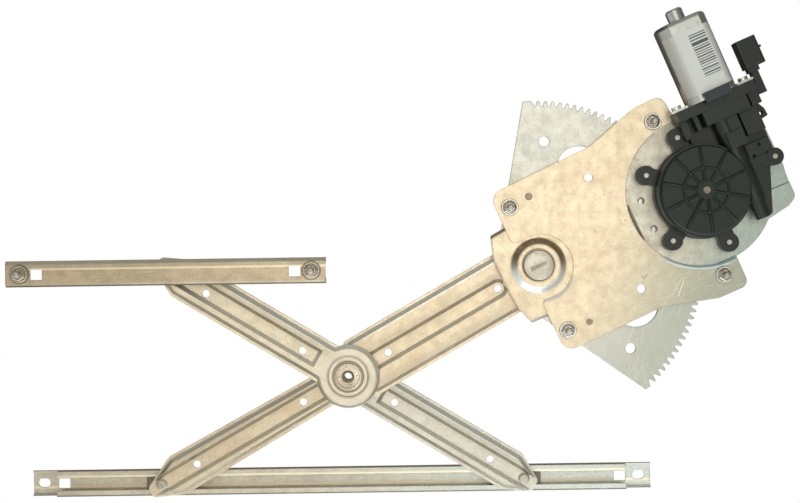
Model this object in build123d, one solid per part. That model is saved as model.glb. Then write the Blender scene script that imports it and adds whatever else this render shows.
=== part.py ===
from build123d import *
import math
import os

# Cross-arm electric window regulator, in millimetres.
# X runs to the right and Z up in the front view, and the viewer stands on the -Y side.
# The origin is on the lift arm's pivot axis, in the front face of the base plate.
# Shapes are drawn flat, with their height h towards the viewer, so that Y = -h.

# Pressed sheets
PLATE_T = 2.0              # base plate, pivot bracket and motor bracket
ARM_T = 2.0                # arms
ARM_RISE = 4.0             # raised band above the arm's edge and trough
WALL_TAPER = 38.0          # slope of every pressed wall, from the press direction
SECTOR_T = 3.0
RAIL_T = 1.6
LAYER_GAP = 0.5            # running gap between sheets that cross

# Linkage
LIFT_ANGLE = 29.5          # lift arm below the horizontal, as shown
LIFT_LENGTH = 373.2        # pivot to the glass rail pin
LIFT_TO_CENTRE = 187.7     # pivot to the centre rivet
CROSS_REAR = 175.5         # centre rivet to the equaliser's glass rail pin
CROSS_FRONT = LIFT_TO_CENTRE * CROSS_REAR / (LIFT_LENGTH - LIFT_TO_CENTRE)

# Gearing between the motor and the sector
MODULE = 2.0
SECTOR_TEETH = 139
PINION_TEETH = 12
PINION_SHIFT = 0.3         # pinion addendum longer, sector addendum shorter, in modules
PRESSURE = 20.0
DEDENDUM = 1.25            # in modules
BACKLASH = 0.12            # taken off each tooth's thickness
MESH_SLACK = 0.10          # added to the centre distance
MOTOR_BEARING = 23.86      # direction from the pivot to the pinion
SECTOR_MIDDLE = 21.85      # direction of the sector's middle tooth
SECTOR_HALF_TEETH = 26     # whole teeth on each side of the middle one

# Sloped edges of the two bracket plates
BEND_RUN = 2.6
BEND_DROP = 1.6

BEAD_DEPTH = 0.9

# Pivot
PIN_R = 13.0
PIN_CLEAR = 0.05
BOSS_TOP_R = 18.3
BOSS_FOOT_R = 23.4
BOSS_RISE = 6.0
PIN_NECK_R = 9.5
PIN_HEAD_T = 2.4

# Arm widths, as half widths across the arm
WIDE_HALF = 27.2
NARROW_NEAR = 14.8
NARROW_FAR = 17.5
CROSS_HALF = 17.8
EDGE_STRIP = 2.4           # flat strip along each edge
WIDE_TROUGH = 8.4
NARROW_TROUGH = 8.3
CROSS_TROUGH = 8.2
DRAIN_R = 3.2              # round holes along the arms
ARM_END = 11.5             # arm beyond its rail pin
HUB_R = 26.8
HUB_STEP_R = 17.2
HUB_STEP = 0.8

# Pins and rivets
RIVET_R = 9.0
RIVET_HEAD_R = 11.7
RIVET_BORE_R = 3.2
RAIL_PIN_R = 4.0
RAIL_PIN_HEAD_R = 4.9
RUN_CLEAR = 0.05           # radial, between a pin and its bore

# Fixed channel and glass rail
CHANNEL_LEFT = -450.5
CHANNEL_RIGHT = -180.7
CHANNEL_Z = -1.3
CHANNEL_HEIGHT = 22.0
CHANNEL_DEPTH = 11.0
CHANNEL_SHOULDER = 3.0
CHANNEL_STUDS = (-438.5, -192.8)
CHANNEL_LIP = 4.6
RAIL_LEFT = -439.4
RAIL_RIGHT = 97.4
RAIL_HEIGHT = 21.7
RAIL_DEPTH = 11.0
RAIL_LIP = 5.2
RAIL_TAB = 22.2            # end of the rail without lips
RAIL_SLOTS = (-430.2, 87.1)
SLOT_LENGTH = 10.5
SLOT_WIDTH = 7.7
WINDOW = (10.0, 8.6)       # square hole beside each fixing
SHOE_LENGTH = 30.0
SHOE_SIDE_GAP = 1.6

# Fasteners
STUD_R = 3.0
STUD_TIP = 14.0            # stud beyond the sheet
STUD_CHAMFER = 0.8
STUD_CORE_R = 2.6          # inside the sheet and the nut
NUT_FLANGE_R = 7.1
NUT_FLANGE_T = 1.2
NUT_FLATS = 10.0
NUT_T = 6.0
STUD_HEAD_R = 6.5
STUD_HEAD_T = 1.5

# Base plate fixings and holes, as X and Z
BASE_STUDS = ((-23.9, 49.7), (98.7, 121.0), (24.1, -55.5), (157.5, -10.0))
BASE_HOLES = ((43.2, 74.3), (86.9, -21.1))
BASE_DIMPLES = ((-7.6, 58.7), (42.6, -48.3))
BASE_HOLE_R = 3.7
DIMPLE_R = 2.8
NOTCH_R = 27.6
NOTCH_CENTRE = (2.0, -1.0)
MOTOR_WINDOW_R = 63.2

# Motor bracket: rivets, and folded edges seen in the round window
MOTOR_RIVETS = ((88.0, 53.6), (98.7, 29.7))
MOTOR_RIVET_R = 2.0
MOTOR_FOLDS = (((78.5, 48.3), (90.0, 23.1)), ((147.6, -2.5), (165.7, 5.4)))
PIVOT_FOLDS = (((-28.0, 32.6), (-40.6, 25.6)), ((-6.0, -49.0), (8.5, -42.6)))

# Motor, in its own frame: x across the can, y along the can, h towards the viewer
MOTOR_TILT = 23.0
WORM_OFFSET = 37.0
WORM_H = 14.5
CASE_R = 40.5
CASE_FOOT_H = 8.0
COVER_R = 37.8
COVER_TOP_H = 26.0
COVER_T = 2.4
COVER_DEPTH = 6.0
SPOKES = 10
SPOKE_TURN = 3.2
LUG_R = 8.2
LUG_SCREW_R = 2.1
LUG_PLACES = ((-1.0, 49.5), (-37.9, 31.0), (-39.4, -28.8), (3.6, -48.8), (67.4, 2.1))
CAN_WIDTH = 45.0
CAN_THICK = 36.0
CAN_WALL = 1.5
CAN_START = 71.0
TUBE_R = 8.4
CAN_END = 139.0
NUB_R = 7.3
NUB_LENGTH = 10.5
FLANGE_SPAN = 74.0
FLANGE_T = 2.0
FLANGE_SCREWS = 30.5       # each side of the can's axis
SHAFT_R = 4.0
SHAFT_END_R = 3.0
WHEEL_R = 31.6
HUB_OF_WHEEL = 11.0
CONNECTOR = (18.2, 24.5, 15.0)    # across, along and high
CONNECTOR_START = 78.4
CONNECTOR_WALL = 1.6
NECK_WIDTH = 6.0
NECK_GAP = 1.2             # beside the flange
NECK_START = 66.0
NECK_SHIFT = 2.4           # the socket stands further out than its neck
NECK = WORM_OFFSET + FLANGE_SPAN / 2 + NECK_GAP + NECK_WIDTH / 2
CLIP_START = 66.0
CLIP_LENGTH = 8.7
CLIP_WIDTH = 23.0
CLIP_SHIFT = 1.5
CLIP_RISE = 2.6
LABEL_T = 0.3
LABEL_START = 75.0
LABEL_END = 128.0
LABEL_SIDES = (-21.0, 19.5)

# Blocks of the gear case: across, along and towards the viewer, each from and to
CASE_BLOCKS = (
    (2.0, 72.0, 60.0, CAN_START - FLANGE_T, 0.5, 28.5),
    (21.8, 61.5, 48.2, 61.0, 1.0, 27.6),
    (14.3, 18.2, 47.6, 61.0, 1.0, 22.0),
    (3.2, 9.5, 44.0, 61.0, 1.0, 17.0),
    (64.0, 72.5, 48.6, 61.0, 1.0, 23.0),
    (35.5, 49.0, 34.0, 49.0, 1.0, 22.5),
    (33.3, 48.4, 22.3, 36.0, 1.0, 24.5),
    (52.0, 68.0, 27.3, 49.0, 1.0, 18.0),
    (46.0, 67.5, 9.0, 20.5, 1.0, 15.0),
    (46.0, 61.0, -3.2, 10.0, 1.0, 12.0),
    (66.0, NECK + NECK_WIDTH / 2, 55.0, NECK_START, 8.0, 19.0))
CASE_SIDE = (
    (20.0, -20.0, 0), (8.0, 30.0, 0), (8.0, 60.0, 0), (72.0, 60.0, 0), (72.7, 49.0, 1), (75.8, 43.0, 1),
    (76.4, 36.4, 1), (69.3, 35.3, 1), (69.0, 12.0, 1), (61.0, 6.0, 1), (61.0, -3.2, 2), (46.6, -41.4, 2),
    (35.0, -39.5, 1), (33.0, -28.0, 1))
EAR_HOLE = (71.8, 40.2, 1.8)
CASE_PITS = ((57.8, 17.0, 11.5), (50.3, 9.3, 8.5))
PIT_R = 1.5

# Heights of the layers, measured towards the viewer
BASE_BACK = -PLATE_T
BRACKET_BACK = BASE_BACK - PLATE_T
SECTOR_FRONT = BRACKET_BACK - LAYER_GAP
SECTOR_BACK = SECTOR_FRONT - SECTOR_T
LIFT_BAND = SECTOR_BACK
LIFT_BACK = LIFT_BAND - ARM_RISE - ARM_T
FRONT_BAND = LIFT_BAND + LAYER_GAP + ARM_RISE + ARM_T
REAR_BAND = LIFT_BACK - LAYER_GAP
REAR_BACK = REAR_BAND - ARM_RISE - ARM_T
RAIL_FRONT = REAR_BACK - 1.0
RAIL_BACK = RAIL_FRONT - RAIL_DEPTH
CHANNEL_BACK = FRONT_BAND + 1.5
CHANNEL_FRONT = CHANNEL_BACK + CHANNEL_DEPTH


def turned(length, degrees):
    """Point at a distance and direction from the pivot."""
    return length * math.cos(math.radians(degrees)), length * math.sin(math.radians(degrees))


# Points of the linkage, as X and Z
CENTRE = turned(LIFT_TO_CENTRE, 180 + LIFT_ANGLE)
PIN_A = turned(LIFT_LENGTH, 180 + LIFT_ANGLE)
CROSS_ANGLE = math.degrees(math.asin((CENTRE[1] - PIN_A[1]) / CROSS_REAR))
PIN_B = tuple(c + d for c, d in zip(CENTRE, turned(CROSS_FRONT, 180 - CROSS_ANGLE)))
PIN_D = tuple(c + d for c, d in zip(CENTRE, turned(CROSS_REAR, -CROSS_ANGLE)))
RAIL_Z = PIN_A[1]
PITCH_R = MODULE * SECTOR_TEETH / 2
PINION_R = MODULE * PINION_TEETH / 2
MOTOR = turned(PITCH_R + PINION_R + MESH_SLACK, MOTOR_BEARING)
SECTOR_RIVETS = tuple(turned(PIN_R + 4.0, a) for a in (30, 120, 210, 300))

# Drain holes along the arms, from each arm's own pin or the centre rivet
LIFT_DRAINS = (39.5, LIFT_TO_CENTRE - 39.4, LIFT_TO_CENTRE + 44.9, LIFT_LENGTH - 34.9)
UPPER_DRAINS = (44.6, CROSS_FRONT - 37.1)
LOWER_DRAINS = (46.2, CROSS_REAR - 33.5)


def frame_at(point, degrees):
    """Frame at a point of the front view, turned by an angle, with its height towards the viewer."""
    across = turned(1.0, degrees)
    return Plane(origin=(point[0], 0, point[1]), x_dir=(across[0], 0, across[1]), z_dir=(0, -1, 0))


FRONT = frame_at((0, 0), 0)
LIFT = frame_at((0, 0), 180 + LIFT_ANGLE)
CROSS_UP = frame_at(CENTRE, 180 - CROSS_ANGLE)
CROSS_DOWN = frame_at(CENTRE, -CROSS_ANGLE)
MOTOR_FRAME = frame_at(MOTOR, MOTOR_TILT)


def save(name, frame, shape):
    """Write one piece, drawn in a frame, to its own file."""
    export_step(frame.location * shape, f"parts/{name}.step")


def outline(corners):
    """Closed outline through corners of x, y and rounding radius."""
    face = make_face(Polyline(*[(x, y) for x, y, r in corners], close=True))
    for x, y, radius in corners:
        if radius:
            face = fillet(face.vertices().sort_by_distance((x, y))[0], radius)
    return face


def slab(face, low, high, taper=0.0):
    """Flat shape between two heights; a taper draws its upper edge in."""
    return Pos(0, 0, low) * extrude(face, amount=high - low, dir=(0, 0, 1), taper=taper)


def sunk(face, high, low, taper=0.0):
    """Flat shape cut down from a height; a taper draws its lower edge in."""
    return Pos(0, 0, high) * extrude(face, amount=high - low, dir=(0, 0, -1), taper=taper)


def disc(radius, low, high, at=(0, 0)):
    """Round piece between two heights."""
    return slab(Pos(*at) * Circle(radius), low, high)


def turned_profile(points):
    """Solid of revolution about the height axis, from points of radius and height."""
    face = make_face(Polyline(*[(r, 0, h) for r, h in points], close=True))
    return revolve(face, Axis.Z)


def between(start, end, half):
    """Straight-sided area along the local x axis."""
    return Pos((start + end) / 2, 0) * Rectangle(end - start, 2 * half)


def stadium(start, end, half):
    """Area with round ends along the local x axis."""
    return Pos((start + end) / 2, 0) * SlotOverall(end - start, 2 * half)


def pressed(front, thickness):
    """Sheet of even thickness under a front surface."""
    return front - Pos(0, 0, -thickness) * front


def involute_tooth(radius, teeth, shift, thinner):
    """Half of one tooth as points of radius and half angle, root to tip."""
    base = radius * math.cos(math.radians(PRESSURE))
    tip = radius + MODULE * (1 + shift)
    root = radius - MODULE * (DEDENDUM - shift)
    at_pitch = math.tan(math.radians(PRESSURE)) - math.radians(PRESSURE)
    half_pitch = (math.pi / 2 + 2 * shift * math.tan(math.radians(PRESSURE))) / teeth - thinner / 2 / radius
    start = max(base, root)
    points = []
    for step in range(4):
        r = start + (tip - start) * step / 3
        angle = math.acos(min(1.0, base / r))
        points.append((r, half_pitch + at_pitch - (math.tan(angle) - angle)))
    if root < start:
        points.insert(0, (root, points[0][1] + 0.02))
    return points


def tooth_ring(radius, teeth, shift, thinner, centres):
    """Outline points of teeth at the given directions, in degrees, in order."""
    half = involute_tooth(radius, teeth, shift, thinner)
    points = []
    for centre in centres:
        middle = math.radians(centre)
        points += [(r * math.cos(middle - a), r * math.sin(middle - a)) for r, a in half]
        points += [(r * math.cos(middle + a), r * math.sin(middle + a)) for r, a in reversed(half)]
    return points


def flange_nut(at, seat):
    """Hexagon nut with a round flange, on a stud."""
    grip = Pos(*at) * RegularPolygon(NUT_FLATS / 2, 6, major_radius=False)
    nut = disc(NUT_FLANGE_R, seat, seat + NUT_FLANGE_T, at) + slab(grip, seat, seat + NUT_T)
    return nut - disc(STUD_CORE_R, seat - 1, seat + NUT_T + 1, at)


def stud(at, back, seat):
    """Threaded stud with a flat head behind the sheet."""
    nut_top = seat + NUT_T
    tip = seat + STUD_TIP
    return Pos(*at) * turned_profile([
        (0, back - STUD_HEAD_T), (STUD_HEAD_R, back - STUD_HEAD_T), (STUD_HEAD_R, back), (STUD_CORE_R, back),
        (STUD_CORE_R, nut_top), (STUD_R, nut_top), (STUD_R, tip - STUD_CHAMFER), (STUD_R - STUD_CHAMFER, tip),
        (0, tip)])


# Fixed sheets on the door

def base_plate():
    """Flat plate with a rounded notch for the pivot boss and a round one for the motor."""
    face = outline([
        (-40.8, 60.6, 10), (44.2, 100.4, 15), (81.7, 132.1, 20), (105.4, 143.5, 8), (115.8, 125.5, 4),
        (112.0, 110.0, 0), (160.0, 20.0, 0),
        (167.4, 7.5, 4), (178.9, -18.8, 7), (153.2, -29.8, 20), (106.0, -36.2, 20), (22.4, -74.3, 10),
        (1.0, -28.4, 0), (-10.0, 0.0, 0), (-24.5, 23.0, 0)])
    face -= Pos(*NOTCH_CENTRE) * Circle(NOTCH_R)
    face -= Pos(*MOTOR) * Circle(MOTOR_WINDOW_R)
    face = face.faces().sort_by(SortBy.AREA)[-1]
    for x, y, radius in ((-19.0, 18.4, 6), (3.0, -28.6, 5)):
        face = face.fillet_2d(radius, [face.vertices().sort_by_distance((x, y))[0]])
    body = slab(face, BASE_BACK, 0)
    for at in BASE_HOLES:
        body -= disc(BASE_HOLE_R, BASE_BACK - 1, 1, at)
    for at in BASE_DIMPLES:
        body -= disc(DIMPLE_R, -0.8, 1, at)
    for at in BASE_STUDS:
        body -= disc(STUD_CORE_R, BASE_BACK - 1, 1, at)
    return body


def pivot_bracket():
    """Plate behind the base plate, with the raised boss that the pivot pin turns in."""
    face = outline([
        (-28.0, 32.6, 2), (-40.6, 25.6, 2), (-38.4, 6.0, 8), (-25.4, -22.3, 20), (-17.1, -36.9, 8),
        (-6.0, -49.0, 2), (8.5, -42.6, 3), (32.0, -24.0, 6), (36.0, 8.0, 10), (24.0, 34.0, 10),
        (-8.0, 42.0, 8)])
    plate = slab(face, BRACKET_BACK, BASE_BACK)
    top = BASE_BACK + BOSS_RISE
    bore = PIN_R + PIN_CLEAR
    boss = turned_profile([
        (bore, top), (BOSS_TOP_R, top), (BOSS_FOOT_R, BASE_BACK), (BOSS_FOOT_R + 1, BRACKET_BACK),
        (BOSS_FOOT_R - 2, BRACKET_BACK), (BOSS_TOP_R - 1.2, top - PLATE_T), (bore, top - PLATE_T)])
    body = plate - disc(BOSS_FOOT_R, BRACKET_BACK - 1, 1) + boss
    for start, end in PIVOT_FOLDS:
        body -= sloped_edge(start, end, BEND_RUN)
    return body


def sloped_edge(start, end, run):
    """Wedge that slopes a plate's edge backwards, on the left of a line and deepest at it."""
    length = math.dist(start, end)
    direction = math.degrees(math.atan2(end[1] - start[1], end[0] - start[0]))
    wedge = make_face(Polyline(
        (0, 1), (run, 1), (run, 0), (0, -BEND_DROP), (-run, -BEND_DROP), (-run, 1), close=True))
    side = Plane(origin=(0, 0, 0), x_dir=(0, 1, 0), z_dir=(1, 0, 0))
    bar = extrude(side * wedge, amount=length + 2 * run, dir=(1, 0, 0))
    return Pos(start[0], start[1], BASE_BACK) * Rot(0, 0, direction) * Pos(-run, 0, 0) * bar


def beside(start, end, distance):
    """The same line, moved to its right."""
    length = math.dist(start, end)
    step = ((end[1] - start[1]) * distance / length, (start[0] - end[0]) * distance / length)
    return [(x + step[0], y + step[1]) for x, y in (start, end)]


def motor_bracket():
    """Plate behind the motor, seen through the base plate's round window."""
    right = outline([
        (96.0, 126.0, 0), (150.0, 128.0, 10), (192.5, 119.5, 3), (201.6, 99.5, 10), (208.3, 86.4, 10),
        (213.9, 70.0, 10), (220.0, 56.0, 6), (214.0, 48.0, 3), (171.9, 21.1, 4), (165.7, 5.4, 3),
        (150.0, -4.0, 0), (120.0, 0.0, 0)])
    round_part = Pos(*MOTOR) * Circle(MOTOR_WINDOW_R + 6)
    limit = outline([
        (60, 20, 0), (60, 118, 0), (108.0, 118.0, 0), (240, 160, 0), (240, -40, 0), (150, -8, 0),
        (96.0, -4.0, 0)])
    window = Pos(*MOTOR) * Circle(MOTOR_WINDOW_R)
    face = (round_part & limit & (window + Pos(88, 30) * Circle(60))) + right
    for at in BASE_STUDS:
        face -= Pos(*at) * Circle(STUD_HEAD_R + 1.0)
    body = slab(face.faces().sort_by(SortBy.AREA)[-1], BRACKET_BACK, BASE_BACK)
    body -= disc(PINION_R + 6, BRACKET_BACK - 1, 1, MOTOR)
    for at in MOTOR_RIVETS:
        body -= disc(MOTOR_RIVET_R, BRACKET_BACK - 1, 1, at)
    for start, end in MOTOR_FOLDS:
        body -= sloped_edge(*beside(start, end, BEND_RUN), BEND_RUN)
    bead = outline([(185.0, 57.0, 0), (185.0, 68.4, 0), (212.0, 80.5, 0), (218.0, 70.0, 0)])
    return body - slab(bead, BASE_BACK - BEAD_DEPTH, 1, -WALL_TAPER)


def motor_bracket_rivets():
    """Round-headed rivets through the motor bracket."""
    rivets = []
    for at in MOTOR_RIVETS:
        rivets.append(Pos(*at) * turned_profile([
            (0, BRACKET_BACK), (MOTOR_RIVET_R, BRACKET_BACK), (MOTOR_RIVET_R, BASE_BACK), (3.2, BASE_BACK),
            (2.9, BASE_BACK + 1.2), (2.0, BASE_BACK + 2.1), (0, BASE_BACK + 2.5)]))
    return Compound(rivets)


def u_section(height, depth, wall, lip, shoulder):
    """Rail section: web at the top, lips at the bottom, x across and y towards the web."""
    half = height / 2
    face = make_face(Polyline(
        (-half, 0), (half, 0), (half, depth - shoulder * 0.6), (half - shoulder, depth),
        (-half + shoulder, depth), (-half, depth - shoulder * 0.6), close=True))
    inner = offset(face, -wall, kind=Kind.INTERSECTION)
    slot = Pos(0, wall / 2) * Rectangle(height - 2 * lip, wall * 1.5)
    return face - inner - slot


def rail_bar(section, left, right, z, flip, h):
    """Rail of one section along X; flip puts the web away from the viewer."""
    toward = -1 if flip else 1
    plane = Plane(origin=(left, -h, z), x_dir=(0, 0, toward), z_dir=(1, 0, 0))
    return extrude(plane * section, amount=right - left, dir=(1, 0, 0))


def fixed_channel():
    """Channel on the door that guides the front shoe, with its web towards the viewer."""
    section = u_section(CHANNEL_HEIGHT, CHANNEL_DEPTH, RAIL_T, CHANNEL_LIP, CHANNEL_SHOULDER)
    bar = rail_bar(section, CHANNEL_LEFT, CHANNEL_RIGHT, CHANNEL_Z, False, CHANNEL_BACK)
    cuts = []
    for x, inward in zip(CHANNEL_STUDS, (1, -1)):
        cuts.append(disc(STUD_CORE_R, CHANNEL_BACK + 4, CHANNEL_FRONT + 1, (x, CHANNEL_Z)))
        window = Pos(x + inward * 14.0, CHANNEL_Z - 0.6) * Rectangle(*WINDOW)
        cuts.append(slab(window, CHANNEL_BACK + 4, CHANNEL_FRONT + 1))
    return bar - FRONT.location * Compound(cuts)


def glass_rail():
    """Rail under the glass, with lips towards the viewer that hold the two shoes."""
    section = u_section(RAIL_HEIGHT, RAIL_DEPTH, RAIL_T, RAIL_LIP, 1.5)
    bar = rail_bar(section, RAIL_LEFT, RAIL_RIGHT, RAIL_Z, True, RAIL_FRONT)
    cuts = []
    for end, slot, inward in ((RAIL_LEFT, RAIL_SLOTS[0], 1), (RAIL_RIGHT, RAIL_SLOTS[1], -1)):
        tab = Pos(end + inward * (RAIL_TAB / 2 - 1), RAIL_Z) * Rectangle(RAIL_TAB + 2, RAIL_HEIGHT + 2)
        cuts.append(slab(tab, RAIL_BACK + 4.0, RAIL_FRONT + 1))
        hole = Pos(slot, RAIL_Z) * SlotOverall(SLOT_LENGTH, SLOT_WIDTH)
        cuts.append(slab(hole, RAIL_BACK - 1, RAIL_BACK + 4))
        window = Pos(end + inward * (RAIL_TAB + 4.4), RAIL_Z - 0.6) * Rectangle(*WINDOW)
        cuts.append(slab(window, RAIL_BACK - 1, RAIL_BACK + 4))
    return bar - FRONT.location * Compound(cuts)


# Lift body

def sector_gear():
    """Toothed sector, with its bore, two large holes and two small ones."""
    pitch = 360 / SECTOR_TEETH
    centres = [SECTOR_MIDDLE + pitch * k for k in range(-SECTOR_HALF_TEETH, SECTOR_HALF_TEETH + 1)]
    teeth = tooth_ring(PITCH_R, SECTOR_TEETH, -PINION_SHIFT, BACKLASH, centres)
    first, last = centres[0], centres[-1]
    root = PITCH_R - MODULE * (DEDENDUM + PINION_SHIFT)
    tip = PITCH_R + MODULE * (1 - PINION_SHIFT)
    start = [turned(tip, first - 4.4), turned(tip + 0.2, first - 2.4), turned(root, first - 1.35)]
    end = [turned(root, last + 1.35), turned(tip + 0.2, last + 2.6), turned(tip, last + 5.4)]
    side = [(-33.0, 20.0), (-30.0, -16.0), (-14.0, -33.0)]
    face = make_face(Polyline(*(start + teeth + end + side), close=True))
    for way in (1, -1):
        face -= Pos(*turned(90.0, SECTOR_MIDDLE + way * 44.5)) * Circle(19.0)
        face -= Pos(*turned(106.0, SECTOR_MIDDLE + way * 64.6)) * Circle(4.5)
    face -= Circle(PIN_NECK_R)
    for at in SECTOR_RIVETS:
        face -= Pos(*at) * Circle(3.0)
    return slab(face, SECTOR_BACK, SECTOR_FRONT)


def sector_rivets():
    """Rivets that hold the sector to the lift arm."""
    rivets = []
    for at in SECTOR_RIVETS:
        rivets.append(disc(3.0, LIFT_BAND - ARM_T, SECTOR_FRONT, at)
                      + disc(3.8, LIFT_BAND - ARM_T - 1.8, LIFT_BAND - ARM_T, at))
    return Compound(rivets)


def lift_arm():
    """Ribbed pressing from the sector, past the centre rivet, to the glass rail."""
    low = LIFT_BAND - ARM_RISE
    step = LIFT_TO_CENTRE - 11.5
    tail = LIFT_LENGTH + ARM_END

    def plan(shrink):
        """Outline of the arm, drawn in by a distance; its root is nearly round."""
        wide = WIDE_HALF - shrink
        return outline([
            (-wide, -wide, wide - 1), (step - shrink, -wide, 5),
            (step + 14 - shrink, -NARROW_NEAR + shrink, 10),
            (LIFT_LENGTH - 17, -NARROW_FAR + shrink, 6), (tail - shrink, -3.5, 4), (tail - shrink, 6.0, 4),
            (LIFT_LENGTH - 14, NARROW_FAR - shrink, 6), (step + 14 - shrink, NARROW_NEAR - shrink, 10),
            (step - shrink, wide, 5), (-wide, wide, wide - 1)])

    front = slab(plan(0), low - 12, low) + slab(plan(EDGE_STRIP), low, LIFT_BAND, WALL_TAPER)
    front -= sunk(stadium(31.0, 170.0, WIDE_TROUGH), LIFT_BAND, low, WALL_TAPER)
    front -= sunk(between(206.0, tail + 12, NARROW_TROUGH), LIFT_BAND, low, WALL_TAPER)
    body = pressed(front, ARM_T)
    for x in LIFT_DRAINS:
        body -= disc(DRAIN_R, LIFT_BACK - 2, LIFT_BAND + 1, (x, 0))
    body -= disc(RIVET_R + RUN_CLEAR, LIFT_BACK - 2, LIFT_BAND + 1, (LIFT_TO_CENTRE, 0))
    body -= disc(RAIL_PIN_R, LIFT_BACK - 2, LIFT_BAND + 1, (LIFT_LENGTH, 0))
    body -= disc(PIN_NECK_R, LIFT_BACK - 2, LIFT_BAND + 1)
    for at in SECTOR_RIVETS:
        body -= Rot(0, 0, -180 - LIFT_ANGLE) * disc(3.0, LIFT_BACK - 2, LIFT_BAND + 1, at)
    return body


def pivot_pin():
    """Pin that turns in the boss and carries the sector and the lift arm."""
    top = BASE_BACK + BOSS_RISE
    back = LIFT_BAND - ARM_T
    return turned_profile([
        (0, top - 0.3), (PIN_R - 0.6, top - 0.3), (PIN_R, top - 0.9), (PIN_R, SECTOR_FRONT),
        (PIN_NECK_R, SECTOR_FRONT), (PIN_NECK_R, back), (PIN_R, back), (PIN_R, back - PIN_HEAD_T + 0.6),
        (PIN_R - 1, back - PIN_HEAD_T), (0, back - PIN_HEAD_T)])


def rail_pin(seat, tip):
    """Headed pin through an arm's end into a shoe."""
    return turned_profile([
        (0, seat + 2.2), (RAIL_PIN_HEAD_R - 1.6, seat + 2.0), (RAIL_PIN_HEAD_R, seat + 1.0),
        (RAIL_PIN_HEAD_R, seat), (RAIL_PIN_R, seat), (RAIL_PIN_R, tip + 0.6), (RAIL_PIN_R - 0.6, tip),
        (0, tip)])


def channel_pin():
    """Shouldered pin in front of the equaliser, flush behind it, into the channel's shoe."""
    seat = FRONT_BAND - ARM_RISE
    tip = CHANNEL_FRONT - RAIL_T - 1.0
    return turned_profile([
        (0, seat - ARM_T), (RAIL_PIN_R, seat - ARM_T), (RAIL_PIN_R, seat), (RAIL_PIN_HEAD_R, seat),
        (RAIL_PIN_HEAD_R, seat + 2.2), (RAIL_PIN_R, seat + 2.2), (RAIL_PIN_R, tip - 0.6),
        (RAIL_PIN_R - 0.6, tip), (0, tip)])


# Equaliser body

def cross_plan(length, shrink, hub):
    """Plan of one equaliser half from its hub to its rounded end."""
    half = CROSS_HALF - shrink
    arm = outline([
        (4, -half, 0), (length - 12, -half, 6), (length + ARM_END - shrink, -6.5, 4),
        (length + ARM_END - shrink, 5.0, 4), (length - 12, half, 6), (4, half, 0)])
    return arm + Circle(hub - shrink)


def equaliser_upper_arm():
    """Front half of the equaliser, with the round hub over the centre rivet."""
    low = FRONT_BAND - ARM_RISE
    tail = CROSS_FRONT + ARM_END
    front = slab(cross_plan(CROSS_FRONT, 0, HUB_R + 0.2), low - 12, low)
    front += slab(cross_plan(CROSS_FRONT, EDGE_STRIP, HUB_R + EDGE_STRIP), low, FRONT_BAND, WALL_TAPER)
    front -= sunk(between(29.5, tail + 12, CROSS_TROUGH), FRONT_BAND, low, WALL_TAPER)
    front -= sunk(Circle(HUB_STEP_R), FRONT_BAND, FRONT_BAND - HUB_STEP, 30)
    body = pressed(front, ARM_T)
    for x in UPPER_DRAINS:
        body -= disc(DRAIN_R, low - 4, FRONT_BAND + 1, (x, 1.0))
    body -= disc(RIVET_R, low - 4, FRONT_BAND + 1)
    body -= disc(RAIL_PIN_R, low - 4, FRONT_BAND + 1, (CROSS_FRONT, 0))
    return body


def equaliser_lower_arm():
    """Rear half of the equaliser, behind the lift arm, to the glass rail."""
    low = REAR_BAND - ARM_RISE
    tail = CROSS_REAR + ARM_END
    front = slab(cross_plan(CROSS_REAR, 0, CROSS_HALF + 0.2), low - 12, low)
    front += slab(cross_plan(CROSS_REAR, EDGE_STRIP, CROSS_HALF + 0.2), low, REAR_BAND, WALL_TAPER)
    front -= sunk(between(32.0, tail + 12, CROSS_TROUGH), REAR_BAND, low, WALL_TAPER)
    body = pressed(front, ARM_T)
    for x in LOWER_DRAINS:
        body -= disc(DRAIN_R, low - 4, REAR_BAND + 1, (x, -0.5))
    body -= disc(RIVET_R, low - 4, REAR_BAND + 1)
    body -= disc(RAIL_PIN_R, low - 4, REAR_BAND + 1, (CROSS_REAR, 0))
    return body


def centre_rivet():
    """Hollow rivet that joins the equaliser's halves through the lift arm."""
    front = FRONT_BAND - HUB_STEP
    back = REAR_BAND - ARM_T
    return turned_profile([
        (RIVET_BORE_R, back - 1.8), (RIVET_BORE_R, front + 0.4), (RIVET_BORE_R + 2.0, front + 0.9),
        (RIVET_HEAD_R - 1.0, front + 0.9), (RIVET_HEAD_R, front), (RIVET_R, front), (RIVET_R, back),
        (RIVET_HEAD_R, back), (RIVET_HEAD_R - 0.8, back - 1.8)])


# Shoes that slide in the rails

def shoe(height, depth, neck_half, neck, front):
    """Slider block with a necked collar, bored for its pin; the collar faces the arm."""
    block = outline([(-SHOE_LENGTH / 2, -height / 2, 3), (SHOE_LENGTH / 2, -height / 2, 3),
                     (SHOE_LENGTH / 2, height / 2, 3), (-SHOE_LENGTH / 2, height / 2, 3)])
    collar = SlotOverall(2.2 * neck_half + 6, 2 * neck_half)
    body = slab(block, *sorted((front, front - depth)))
    body += slab(collar, *sorted((front, front + neck)))
    return body - disc(RAIL_PIN_R + RUN_CLEAR, -60, 40)


def rear_shoe():
    """Shoe inside the glass rail."""
    front = RAIL_FRONT - RAIL_T - LAYER_GAP
    depth = RAIL_DEPTH - 2 * RAIL_T - 2 * LAYER_GAP
    height = RAIL_HEIGHT - 2 * RAIL_T - 2 * SHOE_SIDE_GAP
    return shoe(height, depth, RAIL_HEIGHT / 2 - RAIL_LIP - 0.75, RAIL_T + LAYER_GAP + 0.6, front)


def front_shoe():
    """Shoe inside the fixed channel."""
    front = CHANNEL_BACK + RAIL_T + LAYER_GAP
    depth = CHANNEL_DEPTH - 2 * RAIL_T - 2 * LAYER_GAP
    return shoe(13.6, -depth, 4.3, -(RAIL_T + LAYER_GAP + 0.8), front)


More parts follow.
